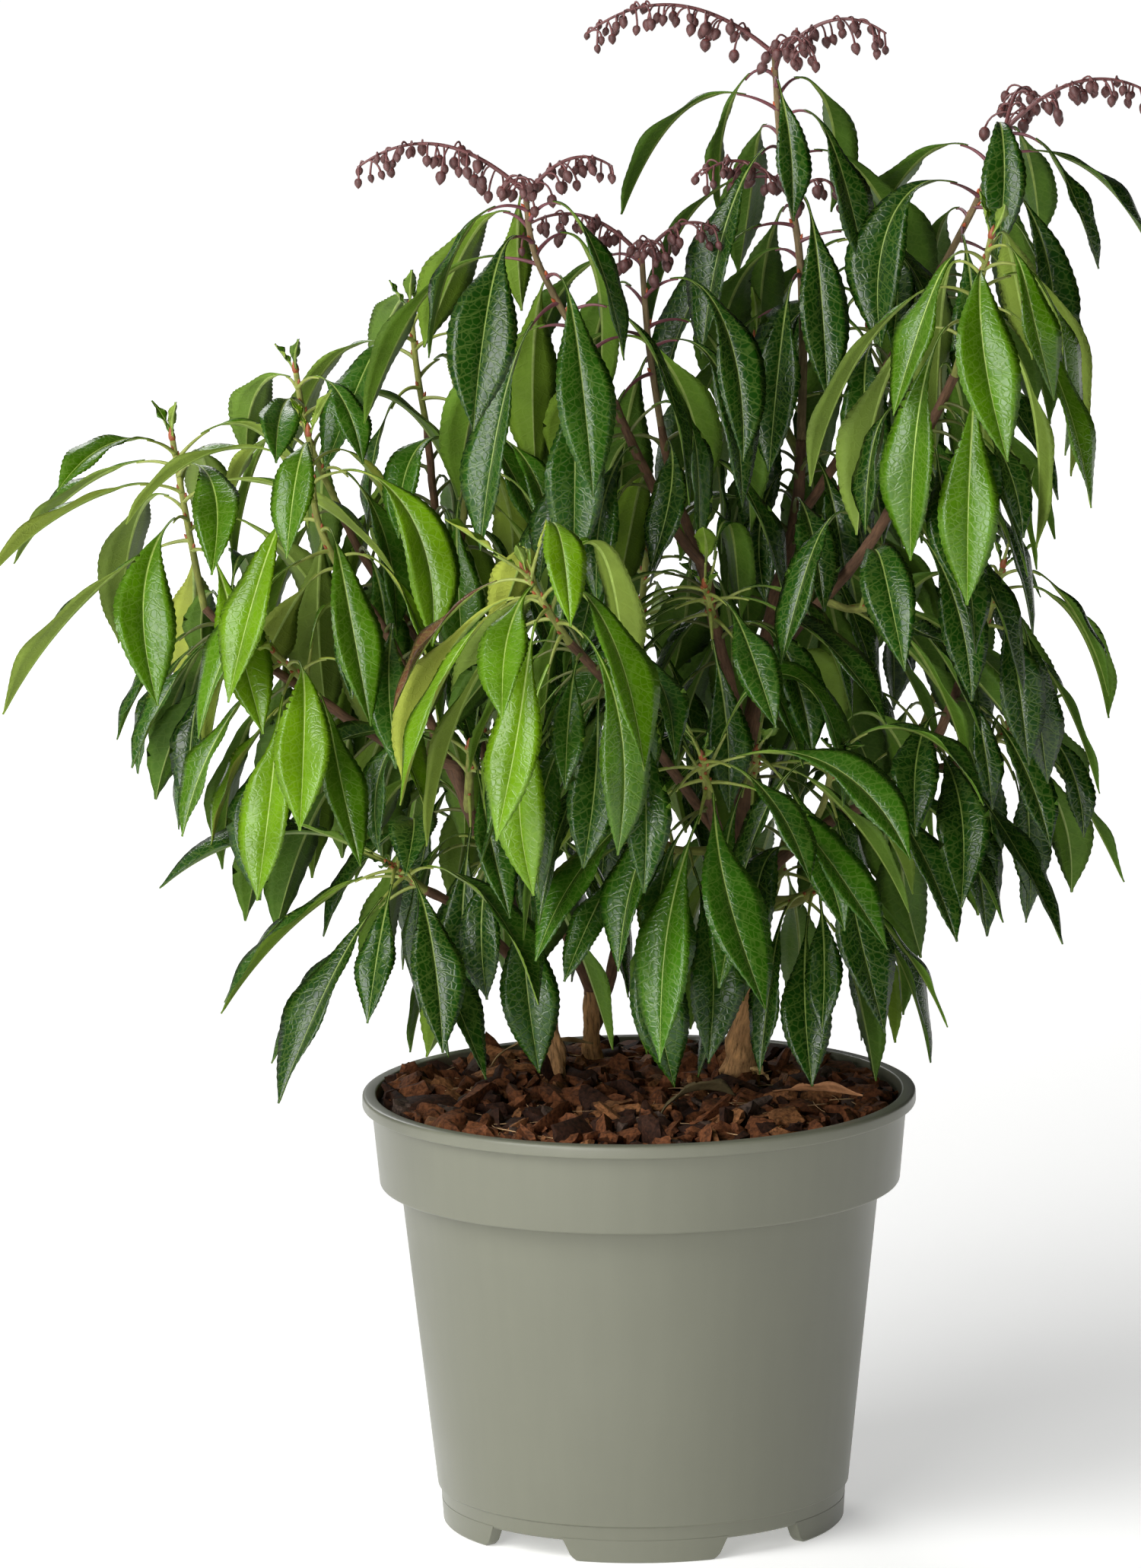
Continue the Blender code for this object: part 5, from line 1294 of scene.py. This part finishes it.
def rounded(points, cuts, steps=5):
    """A profile with rounded corners, each a curve (1-t)^2 a + 2t(1-t) p + t^2 b cut back from it."""
    p = np.array(points, float)
    cut = np.array(cuts, float)[:, None]
    before = unit(np.roll(p, 1, axis=0)[1:-1] - p[1:-1]) * cut
    after = unit(np.roll(p, -1, axis=0)[1:-1] - p[1:-1]) * cut
    t = np.linspace(0, 1, steps)[None, :, None]
    corner = p[1:-1][:, None]
    curve = corner + (1 - t) ** 2 * before[:, None] + t ** 2 * after[:, None]
    return np.vstack((p[:1], curve.reshape(-1, 2), p[-1:]))


def lathe(profile, segments):
    """A profile of (radius, height) carried round Z as one loft; its ends stop just short of the axis."""
    radius, height = np.maximum(profile[:, 0], 0.0002), profile[:, 1]
    angle = np.arange(segments) * math.tau / segments
    x = radius[:, None] * np.cos(angle)[None]
    y = radius[:, None] * np.sin(angle)[None]
    return np.stack((x, y, height[:, None] + 0 * x), axis=-1)[None]


def pot_shell():
    """The pot as lofts: a thin turned wall with band, bead and floor, five feet and the pad below."""
    inner_floor = BASE_Z + FLOOR_THICKNESS
    ledge = BAND_BOTTOM_Z + WALL
    under_bead = POT_HEIGHT - BEAD_HEIGHT
    corners = (
        ((0, BASE_Z), None), ((BASE_RADIUS - 0.0008, BASE_Z), 0.0012),
        ((wall_radius(BASE_LINE_Z) - 0.0008, BASE_LINE_Z), 0.0002),
        ((wall_radius(BASE_LINE_Z + 0.0006), BASE_LINE_Z + 0.0006), 0.0002),
        ((wall_radius(MID_Z), MID_Z), CORNER),
        ((SHOULDER_RADIUS, SHOULDER_Z), 0.0008), ((BAND_BOTTOM_RADIUS, SHOULDER_Z + BEAD_EDGE), 0.0009),
        ((BAND_TOP_RADIUS, under_bead), 0.0003), ((RIM_RADIUS, under_bead + 0.0002), 0.0006),
        ((RIM_RADIUS, POT_HEIGHT), 0.0013), ((BAND_TOP_RADIUS - WALL, POT_HEIGHT), 0.0007),
        ((BAND_BOTTOM_RADIUS - WALL, ledge), 0.0008), ((SHOULDER_RADIUS - WALL, ledge), 0.0008),
        ((BASE_RADIUS - WALL, inner_floor), 0.0010), ((0, inner_floor), None),
    )
    wall = rounded([place for place, _ in corners], [cut for _, cut in corners[1:-1]])
    pad_corners = ((0, 0), (PAD_RADIUS, 0), (PAD_RADIUS, BASE_Z + CORNER), (0, BASE_Z + CORNER))
    pad = rounded(pad_corners, (CORNER, 0.0004))
    outer = BASE_RADIUS - FOOT_INSET
    section = np.array(((outer, BASE_Z + CORNER), (outer - 0.0005, 0.0006), (outer - 0.0011, 0.0),
                        (outer - FOOT_WIDTH + 0.0006, 0.0), (outer - FOOT_WIDTH, 0.0006),
                        (outer - FOOT_WIDTH, BASE_Z + CORNER)))
    middle = (-math.pi / 2 + np.arange(FOOT_COUNT) * math.tau / FOOT_COUNT)[:, None, None]
    share = np.sin(math.pi / 2 * np.linspace(-1, 1, FOOT_STEPS))[None, :, None]
    lift = FOOT_CORNER * np.clip((np.abs(share) - 0.9) / 0.1, 0, 1) ** 2
    taper = FOOT_TAPER * (1 - section[:, 1] / (BASE_Z + CORNER))
    angle = middle + share * (FOOT_HALF_ANGLE - taper[None, None])
    radius, height = section[:, 0], section[:, 1]
    height = height + lift * (height < CORNER) + 0 * angle
    feet = np.stack((radius * np.cos(angle), radius * np.sin(angle), height), axis=-1)
    return [(lathe(wall, POT_SIDES), 0, None), (lathe(pad, PAD_SIDES), 0, None), (feet, 0, None)]


def bed_height(x, y):
    """Height of the peat: 3 to 6 mm below the rim, lower to the right and at the wall, with slow humps."""
    r = np.hypot(x, y) / wall_radius(SOIL_Z)
    humps = np.sin(x / 0.011 + 0.7) * np.cos(y / 0.013 + 0.4) + 0.6 * np.sin(x / 0.006 + y / 0.008)
    return SOIL_Z - 0.0022 - 0.0018 * r ** 3 - 0.0012 * x / RIM_RADIUS + 0.0007 * humps


def bed():
    """Peat as one loft: down the pot's inside, and over the top in rings that follow bed_height."""
    gap = WALL + 2 * CLEAR
    bottom = BASE_Z + FLOOR_THICKNESS + CLEAR
    ledge = BAND_BOTTOM_Z + WALL + CLEAR
    edge = wall_radius(SOIL_Z - 0.004) - gap
    below = np.array(((0.0002, bottom), (wall_radius(bottom) - gap, bottom),
                      (SHOULDER_RADIUS - gap, SHOULDER_Z), (SHOULDER_RADIUS - gap, ledge),
                      (BAND_BOTTOM_RADIUS - gap, ledge + CLEAR)))
    radius = np.concatenate((below[:, 0], np.linspace(edge, 0.0005, BED_RINGS)))
    angle = np.arange(BED_SIDES) * math.tau / BED_SIDES
    x = radius[:, None] * np.cos(angle)[None]
    y = radius[:, None] * np.sin(angle)[None]
    z = bed_height(x, y)
    z[:len(below)] = below[:, 1:]
    return np.stack((x, y, z), axis=-1)[None]


def chips(count, usual, seed):
    """Bark chips as lofts of five seven-sided rings: split flakes with blunt uneven ends.

    A point of a ring lies at the half width and half thickness times (cos, sin), both times a random share,
    and the flake is turned by its yaw, then tipped, and set on the peat in loose layers.
    """
    random = np.random.RandomState(seed)
    length = usual * np.clip(random.lognormal(0, 0.42, count), 0.4, 2.0)
    width = length * random.uniform(0.34, 0.80, count)
    thick = np.clip(width * random.uniform(0.45, 0.9, count), *CHIP_THICKNESS)
    along = np.array((-0.5, -0.34, 0.0, 0.32, 0.5))[None] + random.uniform(-0.07, 0.07, (count, CHIP_RINGS))
    size = np.array((0.5, 0.92, 1.05, 0.9, 0.45))[None] * random.uniform(0.78, 1.15, (count, CHIP_RINGS))
    angle = np.arange(CHIP_SIDES) * math.tau / CHIP_SIDES
    rough = random.uniform(0.58, 1.25, (count, CHIP_RINGS, CHIP_SIDES))
    x = (along * length[:, None])[..., None] + random.uniform(-1, 1, rough.shape) * CHIP_JAG
    y = size[..., None] * np.cos(angle) * rough * width[:, None, None] / 2
    z = size[..., None] * np.sin(angle) * rough * thick[:, None, None] / 2
    y = y + (along ** 2 - 0.08)[..., None] * (width * random.uniform(-0.4, 0.4, count))[:, None, None]
    shape = np.stack((x, y, z), axis=-1)
    yaw = random.uniform(0, math.tau, count)
    pitch, roll = random.normal(0, 0.45, count), random.normal(0, 0.8, count)
    spin = turn_matrices(yaw, pitch, roll)
    shape = np.einsum("nij,nrsj->nrsi", spin, shape)
    reach = (wall_radius(SOIL_Z) - WALL - 0.001) * np.sqrt(random.uniform(0, 1, count))
    bearing = random.uniform(0, math.tau, count)
    place = np.stack((reach * np.cos(bearing), reach * np.sin(bearing)), axis=-1)
    spread = shape[..., :2] + place[:, None, None, :2]
    far = np.hypot(spread[..., 0], spread[..., 1]).max(axis=(1, 2))
    limit = wall_radius(SOIL_Z - 0.004) - WALL - 0.0006
    place = place * (np.minimum(1, limit / far) - 0.5 * np.clip(far / limit - 1, 0, 1))[:, None]
    layer = random.uniform(*CHIP_LAYER, count)
    height = bed_height(place[:, 0], place[:, 1]) + layer
    centre = np.column_stack((place, height))
    return shape + centre[:, None, None], random


def turn_matrices(yaw, pitch, roll):
    """Rotations Rz(yaw) Ry(pitch) Rx(roll), one for each row."""
    cz, sz, cy, sy, cx, sx = (f(a) for a in (yaw, pitch, roll) for f in (np.cos, np.sin))
    rows = ((cz * cy, cz * sy * sx - sz * cx, cz * sy * cx + sz * sx),
            (sz * cy, sz * sy * sx + cz * cx, sz * sy * cx - cz * sx),
            (-sy, cy * sx, cy * cx))
    return np.moveaxis(np.array(rows), -1, 0)


def fibers(count, seed):
    """Loose bark fibres as thin rods: arcs 6 to 20 mm long that lie on the chips."""
    random = np.random.RandomState(seed)
    length = random.uniform(*FIBER_LENGTH, count)
    bearing, yaw = random.uniform(0, math.tau, count), random.uniform(0, math.tau, count)
    reach = FIBER_REACH * np.sqrt(random.uniform(0, 1, count))
    s = np.linspace(-0.5, 0.5, 7)[None]
    bend = random.uniform(-0.35, 0.35, count)[:, None]
    u, v = s * length[:, None], (bend * (s ** 2 - 0.08) * length[:, None])
    x = (reach * np.cos(bearing))[:, None] + u * np.cos(yaw)[:, None] - v * np.sin(yaw)[:, None]
    y = (reach * np.sin(bearing))[:, None] + u * np.sin(yaw)[:, None] + v * np.cos(yaw)[:, None]
    tip = random.uniform(-0.12, 0.12, count)[:, None] * u
    z = bed_height(x, y) + FIBER_HEIGHT + tip + random.uniform(-0.0004, 0.0008, count)[:, None]
    lines = np.stack((x, y, z), axis=-1)
    radii = FIBER_RADIUS * random.uniform(0.7, 1.6, count)[:, None] * (1.05 - np.abs(s) * 1.2)
    return rods(lines, radii, 5)


def fallen_leaves():
    """Dry leaves on the mulch as rows for blades.

    A curled grey one, an olive one on edge, a tan one lying flat and a pale scrap by the thick trunk.
    """
    places = ((-0.052, 0.036, 0.1490), (0.006, -0.046, 0.1485), (0.044, -0.018, 0.1520),
              (0.0445, 0.004, 0.1500))
    first = ((0.35, 0.12, 0.95), (0.35, 0.25, 0.95), (0.78, -0.58, 0.35), (0.30, -0.20, 0.90))
    pull = ((0.95, 0.10, -0.45), (0.60, 0.20, -0.70), (0.78, -0.58, -0.30), (-0.60, -0.20, 0.10))
    size = ((0.042, 0.45), (0.034, 1.10), (0.040, 1.15), (0.011, 1.60))
    droop = (0.85, 0.70, 0.60, 0.90)
    leaves = [Leaf(np.array(a), unit(b), unit(c), d, length, 0.002, SETTLE_SLOW, TWIST)
              for a, b, c, d, (length, _) in zip(places, first, pull, droop, size)]
    rows = leaf_table(leaves)
    rows["width"] = rows["width"] * [share for _, share in size]
    return rows


def spray_rows(stems):
    """The arched flower stalks of the plant as rows for leaf_curves, with their length factors."""
    curves = [(spray_curve(stems[shoot.name], azimuth, factor, place), factor)
              for shoot in SHOOTS for azimuth, factor, place in shoot.sprays]
    rows = leaf_table([curve for curve, _ in curves])
    rows["first"] = unit(rows["first"] + SPRAY_LEAN * rows["pull"] * (1, 1, 0))
    return rows, np.array([factor for _, factor in curves])


def bud_sprays(stems):
    """Lofts of the flower stalks, of the little stalks of the buds, and of the buds with their calyx.

    A bud's stalk leaves the flower stalk sideways, left and right in turn, and bends down; the bud hangs
    from its end. Places run from a bare foot to the tip, where buds are smaller and closer to the stalk.
    """
    values = settings("bud")
    random = np.random.RandomState(SEEDS["buds"])
    rows, factors = spray_rows(stems)
    line, side, normal = leaf_curves(rows)
    along = np.linspace(0, 1, SPRAY_RINGS)
    curves = [sample(item, np.tile(along, (len(factors), 1))) for item in (line, side, normal)]
    radius = SPRAY_RADIUS - SPRAY_THINNING * along
    stalk = curves[0][:, :, None] + ring_points(SPRAY_SIDES, *curves[1:]) * radius[None, :, None, None]
    counts = np.maximum(5, (values.per_spray * factors).round().astype(int))
    spray = np.repeat(np.arange(len(factors)), counts)
    order = np.concatenate([np.arange(count) for count in counts])
    share = (order + 0.5) / counts[spray]
    places = (SPRAY_BARE * 0.8 + (1 - SPRAY_BARE * 0.8) * share)[:, None]
    root = sample(line[spray], places)[:, 0]
    out = sample(side[spray], places)[:, 0] * np.where(order % 2 == 0, 1, -1)[:, None]
    ahead = unit(sample(line[spray], places + 0.01)[:, 0] - sample(line[spray], places - 0.01)[:, 0])
    count = len(spray)
    size = (1.05 - 0.35 * share) * random.uniform(0.86, 1.12, count)
    out = unit(out + random.normal(0, 0.5, (count, 3)) + 0.3 * ahead)
    down = np.array((0, 0, -1.0))
    reach = (size * random.uniform(0.75, 1.3, count))[:, None]
    bend = root + (out * PEDICEL_BEND[0] + down * PEDICEL_BEND[1]) * reach
    end = root + (out * PEDICEL_END[0] + down * PEDICEL_END[1]) * reach
    t = np.linspace(0, 1, PEDICEL_RINGS)[None, :, None]
    arc = (1 - t) ** 2 * root[:, None] + 2 * t * (1 - t) * bend[:, None] + t ** 2 * end[:, None]
    pedicels = rods(arc, np.linspace(*PEDICEL_RADII, PEDICEL_RINGS)[None], PEDICEL_SIDES)
    axis = unit(unit(end - bend) + 0.35 * down + random.normal(0, 0.18, (count, 3)))
    buds = spindles(end, axis, values.length * size, values.width * size, BUD_PROFILE, BUD_SIDES, BUD_RIDGE)
    return stalk, pedicels, buds


def young_leaves(stems):
    """Small upright leaves round the tips of the leafy shoots, by kind."""
    random = np.random.RandomState(SEEDS["young"])
    found = {"bright": [], "mid": [], "dark": []}
    for shoot in SHOOTS:
        if shoot.sprays:
            continue
        root, ahead, _ = stems[shoot.name].at(0.985)
        for index in range(TIP_LEAVES):
            bearing = index * GOLDEN_ANGLE + random.uniform(0, 1)
            out = np.array((math.cos(bearing), math.sin(bearing), 0.0))
            out = unit(out - ahead * np.dot(out, ahead))
            lift = math.radians(10 + 7 * index + random.uniform(-4, 4))
            first = ahead * math.cos(lift) + out * math.sin(lift)
            length = (TIP_LEAF_LENGTH + TIP_LEAF_GAIN * index) * random.uniform(0.8, 1.2)
            leaf = Leaf(root, first, unit(out - (0, 0, 0.6)), 0.22, length, 0.002, SETTLE_SLOW, 0.0)
            found[shoot.tint].append(leaf)
    return found


def tip_and_side_buds(stems, leaves):
    """Lofts of the pointed buds at the shoots' tips and of the small ones over the leaf stalks.

    The first array is on leafy shoots, the second on flowering ones.
    """
    sets = {True: [], False: []}
    for shoot in SHOOTS:
        stem = stems[shoot.name]
        for leaf in leaves[shoot.name]:
            _, ahead, radius = stem.at(0.5)
            base = leaf.root + unit(leaf.first) * radius * 0.8 + ahead * 0.0006
            sets[bool(shoot.sprays)].append((base, ahead + 0.7 * leaf.first, *SIDE_BUD))
        if not shoot.sprays:
            root, ahead, _ = stem.at(1.0)
            sets[False].append((root - ahead * 0.0004, ahead, *TIP_BUD))
    lofts_made = []
    for flowering in (False, True):
        base, axis, length, width = (np.array(column) for column in zip(*sets[flowering]))
        lofts_made.append(spindles(base, axis, length, width, TIP_BUD_PROFILE, TIP_BUD_SIDES))
    return lofts_made


class PIERIS_OT_pot(Operator):
    """Make the moulded plastic pot with its band, bead, floor and feet"""

    bl_idname = "pieris.pot"
    bl_label = "Pot"

    def execute(self, context):
        """Builds the pot."""
        values = settings("pot")
        plastic = plastic_skin("moulded_polypropylene", values.plastic, values.roughness)
        new_piece("pot_shell", pot_shell(), [plastic], ["pot"], sharp=32)
        return {"FINISHED"}


class PIERIS_OT_mulch(Operator):
    """Make the peat, the bark chips and fibres, and the fallen leaves"""

    bl_idname = "pieris.mulch"
    bl_label = "Mulch"

    def execute(self, context):
        """Builds the root ball's top and what lies on it."""
        values = settings("mulch")
        peat = dry_skin("damp_peat", values.peat, 0.0016, 0.95, 0.5)
        new_piece("peat", [(bed(), 0, None)], [peat], ["root_ball"])
        flakes, random = chips(values.chips, values.chip_length, SEEDS["chips"])
        colors = [dry_skin("bark_chip_" + name, getattr(values, name + "_chip"), 0.0015, 0.8, 0.8)
                  for name in ("red", "dark", "tan", "gray")]
        kinds = random.choice(4, len(flakes), p=(0.56, 0.24, 0.14, 0.06))[:, None, None]
        new_piece("bark_chips", [(flakes, kinds, None)], colors, sharp=40)
        dead = [dry_skin("dry_leaf_" + name, shade(values.dead_leaf, *tone)[:3], 0.003, 0.65, 0.25)
                for name, tone in (("gray", (1.5, 0.92)), ("olive", (0.45, 0.8)), ("tan", (1.15, 1.3)),
                                   ("pale", (3.0, 0.95)))]
        points, skin = blades(fallen_leaves(), SEEDS["fallen"], 0, INNER_STATIONS)
        kinds = np.arange(len(dead))[:, None, None]
        new_piece("fallen_leaves", [(points, kinds, skin)], dead)
        pale = dry_skin("bark_fiber", values.fiber, 0.002, 0.8)
        new_piece("bark_fibers", [(fibers(values.fibers, SEEDS["fibers"]), 0, None)], [pale])
        return {"FINISHED"}


class PIERIS_OT_bark(Operator):
    """Make the trunks and boughs with the relief of their bark"""

    bl_idname = "pieris.bark"
    bl_label = "Trunks and boughs"

    def execute(self, context):
        """Builds the limbs."""
        values = settings("bark")
        axes = grow()[0]
        old = bark_skin("stringy_trunk_bark", values.trunk, 0.9, 0.0005, 0.22)
        young = bark_skin("thin_bough_bark", values.bough, 0.7, 0.00022, 0.5)
        for kind, skin, relief in (("trunk", old, values.relief), ("bough", young, values.relief * 0.5)):
            names = [limb.name for limb in LIMBS if limb.name.startswith(kind)]
            parts = []
            for number, name in enumerate(names):
                shape, place = limb_surface(axes[name], BARK_SIDES[kind], relief, SEEDS["limbs"] + number)
                parts.append((shape, 0, place))
            new_piece(kind + "_bark", parts, [skin], names)
        return {"FINISHED"}


class PIERIS_OT_stems(Operator):
    """Make the young stems of the shoots and the small buds on them"""

    bl_idname = "pieris.stems"
    bl_label = "Stems"

    def execute(self, context):
        """Builds the stems."""
        values = settings("bark")
        _, stems, leaves, _ = grow()
        skins = [bark_skin("leafy_stem_rind", values.leafy_stem, 0.8, 0.0001, 0.75),
                 bark_skin("flowering_stem_rind", values.flower_stem, 0.8, 0.0001, 0.7)]
        parts = []
        for number, shoot in enumerate(SHOOTS):
            shape, place = limb_surface(stems[shoot.name], BARK_SIDES["stem"], STEM_RELIEF,
                                        SEEDS["stems"] + number)
            parts.append((shape, int(bool(shoot.sprays)), place))
        new_piece("shoot_stems", parts, skins)
        green, red = tip_and_side_buds(stems, leaves)
        rinds = [plant_skin("leaf_bud_scale", shade(values.side_bud, 0.8, 0.8)[:3]),
                 plant_skin("side_bud_scale", values.side_bud)]
        new_piece("side_buds", [(green, 0, None), (red, 1, None)], rinds)
        return {"FINISHED"}


class PIERIS_OT_leaves(Operator):
    """Make the leaves with their stalks"""

    bl_idname = "pieris.leaves"
    bl_label = "Leaves"

    def execute(self, context):
        """Builds the leaves of all shoots, one piece for each kind."""
        values = settings("leaf")
        _, stems, leaves, inner = grow()
        small = young_leaves(stems)
        groups = (("leaves_bright", "bright", "foliage_bright", lambda y: True),
                  ("leaves_mid", "mid", "foliage_mid", lambda y: True),
                  ("leaves_dark_front", "dark", "foliage_dark", lambda y: y < DARK_SPLIT_Y),
                  ("leaves_dark_back", "dark", "foliage_dark", lambda y: y >= DARK_SPLIT_Y))
        aging = min(leaves["foliage_front_left"], key=lambda leaf: leaf.points[-1][0])
        for number, (name, kind, slot, inside) in enumerate(groups):
            shoots = [shoot.name for shoot in SHOOTS if shoot.tint == kind and inside(shoot.path[0][1])]
            group = [leaf for shoot in shoots for leaf in leaves[shoot]]
            leaf_piece(name, group, kind, shoots, SEEDS["leaves"] + 10 * number,
                       BACK_STATIONS if name.endswith("back") else LEAF_STATIONS, aging)
        leaf_piece("inner_leaves", inner, "dark", [], SEEDS["inner"], INNER_STATIONS)
        for number, (kind, group) in enumerate(small.items()):
            leaf_piece("young_leaves_" + kind, group, kind, [],
                       SEEDS["tips"] + 10 * number, YOUNG_STATIONS)
        leafy = [leaf for shoot in SHOOTS if not shoot.sprays for leaf in leaves[shoot.name]]
        flowering = [leaf for shoot in SHOOTS if shoot.sprays for leaf in leaves[shoot.name]]
        rinds = [plant_skin("green_leaf_stalk", values.green_stalk),
                 plant_skin("red_leaf_stalk", values.red_stalk),
                 plant_skin("shaded_leaf_stalk", shade(values.green_stalk, 0.4)[:3])]
        parts = [(stalks(leaf_table(group)), skin, None)
                 for skin, group in enumerate((leafy, flowering, inner))]
        new_piece("leaf_stalks", parts, rinds)
        return {"FINISHED"}


class PIERIS_OT_buds(Operator):
    """Make the arching sprays of closed flower buds"""

    bl_idname = "pieris.buds"
    bl_label = "Bud sprays"

    def execute(self, context):
        """Builds the flower stalks and the buds."""
        values = settings("bud")
        stalk, pedicels, buds = bud_sprays(grow()[1])
        rind = plant_skin("spray_stalk", values.stalk)
        new_piece("bud_stalks", [(stalk, 0, None), (pedicels, 0, None)], [rind])
        bands = (np.arange(len(BUD_PROFILE) - 1) < 1).astype(int)[None, :, None]
        skins = [plant_skin("closed_bud", values.bud, 0.55, 0.3), plant_skin("bud_calyx", values.calyx, 0.5)]
        new_piece("buds", [(buds, bands, None)], skins)
        return {"FINISHED"}


class PIERIS_OT_stage(Operator):
    """Make the pale floor, the soft lights and the camera"""

    bl_idname = "pieris.stage"
    bl_label = "Stage"

    def execute(self, context):
        """Builds the stage."""
        values = settings("stage")
        scene = context.scene
        corners = np.array(((-1, -1, 0), (1, -1, 0), (1, 1, 0), (-1, 1, 0)), float) * FLOOR_HALF
        mesh = bpy.data.meshes.new("floor")
        mesh.from_pydata(corners.tolist(), [], [(0, 1, 2, 3)])
        floor = bpy.data.objects.new("floor", mesh)
        scene.collection.objects.link(floor)
        paper, tree, inputs = material("matte_paper", values.floor, 0.9)
        inputs["Emission Color"].default_value = (1, 1, 1, 1)
        place = node(tree, "ShaderNodeTexCoord")["Object"]
        away = node(tree, "ShaderNodeVectorMath", {0: place}, operation="LENGTH")["Value"]
        glow = node(tree, "ShaderNodeMapRange",
                    {0: away, 1: 0.4, 2: 2.5, 3: values.glow, 4: values.far_glow})[0]
        tree.links.new(glow, inputs["Emission Strength"])
        mesh.materials.append(paper)
        world = bpy.data.worlds.new("soft_room")
        world.use_nodes = True
        room = world.node_tree
        way = node(room, "ShaderNodeTexCoord")["Generated"]
        parts = node(room, "ShaderNodeSeparateXYZ", {0: way})
        front = node(room, "ShaderNodeMapRange", {0: parts[1], 1: -0.9, 2: 0.3, 3: values.front, 4: 1.0})[0]
        above = node(room, "ShaderNodeMapRange", {0: parts[2], 1: -0.1, 2: 0.7, 3: 0.5, 4: 1.0})[0]
        right = node(room, "ShaderNodeMapRange", {0: parts[0], 1: -0.1, 2: 0.6, 3: 1.0, 4: 0.0})[0]
        level = node(room, "ShaderNodeMath", {0: front, 1: above}, operation="MULTIPLY")[0]
        level = node(room, "ShaderNodeMath", {0: level, 1: right}, operation="MULTIPLY")[0]
        strength = node(room, "ShaderNodeMath", {0: level, 1: values.sky}, operation="MULTIPLY")[0]
        room.links.new(strength, room.nodes["Background"].inputs["Strength"])
        room.nodes["Background"].inputs["Color"].default_value = (1, 1, 1, 1)
        scene.world = world
        lights = (("upper_left", (-1.4, -1.2, 1.6), 1.5, values.key_power),
                  ("front_left", (-1.1, -2.5, 0.75), 1.1, values.front_power),
                  ("back", (-0.7, 2.2, 1.6), 1.2, values.back_power))
        for name, place, size, power in lights:
            lamp = bpy.data.lights.new(name, "AREA")
            lamp.shape = "DISK"
            lamp.size = size
            lamp.energy = power
            light = bpy.data.objects.new(name, lamp)
            light.matrix_world = aimed(place, (0, 0, 0.25))
            scene.collection.objects.link(light)
        lens = bpy.data.cameras.new("camera")
        lens.lens = CAMERA_LENS
        lens.sensor_width = SENSOR
        camera = bpy.data.objects.new("camera", lens)
        tilt = Matrix.Rotation(math.pi / 2 - CAMERA_PITCH, 4, "X") @ Matrix.Rotation(-CAMERA_ROLL, 4, "Z")
        camera.matrix_world = Matrix.Translation(CAMERA_PLACE) @ tilt
        scene.collection.objects.link(camera)
        scene.camera = camera
        scene.view_settings.view_transform = "Standard"
        return {"FINISHED"}


def aimed(place, target):
    """A light's matrix at a place, turned to face a target."""
    back = Vector(place) - Vector(target)
    return Matrix.Translation(place) @ back.to_track_quat("Z", "Y").to_matrix().to_4x4()


class PIERIS_PT_panel(Panel):
    """Lists the plant's settings and operators"""

    bl_label = "Pieris"
    bl_idname = "PIERIS_PT_panel"
    bl_space_type = "VIEW_3D"
    bl_region_type = "UI"
    bl_category = "Pieris"

    def draw(self, context):
        """Draws each group's settings under its operators."""
        for group, operators in PANEL_ORDER:
            box = self.layout.box()
            for operator in operators:
                box.operator(operator.bl_idname)
            values = getattr(context.scene, "pieris_" + group)
            for name in type(values).__annotations__:
                box.prop(values, name)


GROUPS = {"leaf": LeafSettings, "bud": BudSettings, "bark": BarkSettings, "pot": PotSettings,
          "mulch": MulchSettings, "stage": StageSettings}
PANEL_ORDER = (("pot", (PIERIS_OT_pot,)), ("mulch", (PIERIS_OT_mulch,)),
               ("bark", (PIERIS_OT_bark, PIERIS_OT_stems)), ("leaf", (PIERIS_OT_leaves,)),
               ("bud", (PIERIS_OT_buds,)), ("stage", (PIERIS_OT_stage,)))
OPERATORS = tuple(operator for _, operators in PANEL_ORDER for operator in operators)


def register():
    """Registers the classes and puts the settings on the scene."""
    for group, kind in GROUPS.items():
        bpy.utils.register_class(kind)
        setattr(bpy.types.Scene, "pieris_" + group, PointerProperty(type=kind))
    for kind in OPERATORS + (PIERIS_PT_panel,):
        bpy.utils.register_class(kind)


def unregister():
    """Takes away what register added."""
    for kind in reversed(OPERATORS + (PIERIS_PT_panel,)):
        bpy.utils.unregister_class(kind)
    for group, kind in GROUPS.items():
        delattr(bpy.types.Scene, "pieris_" + group)
        bpy.utils.unregister_class(kind)


def main():
    """Builds everything through the operators."""
    register()
    for operator in OPERATORS:
        group, name = operator.bl_idname.split(".")
        getattr(getattr(bpy.ops, group), name)()
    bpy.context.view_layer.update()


if __name__ == "__main__":
    main()
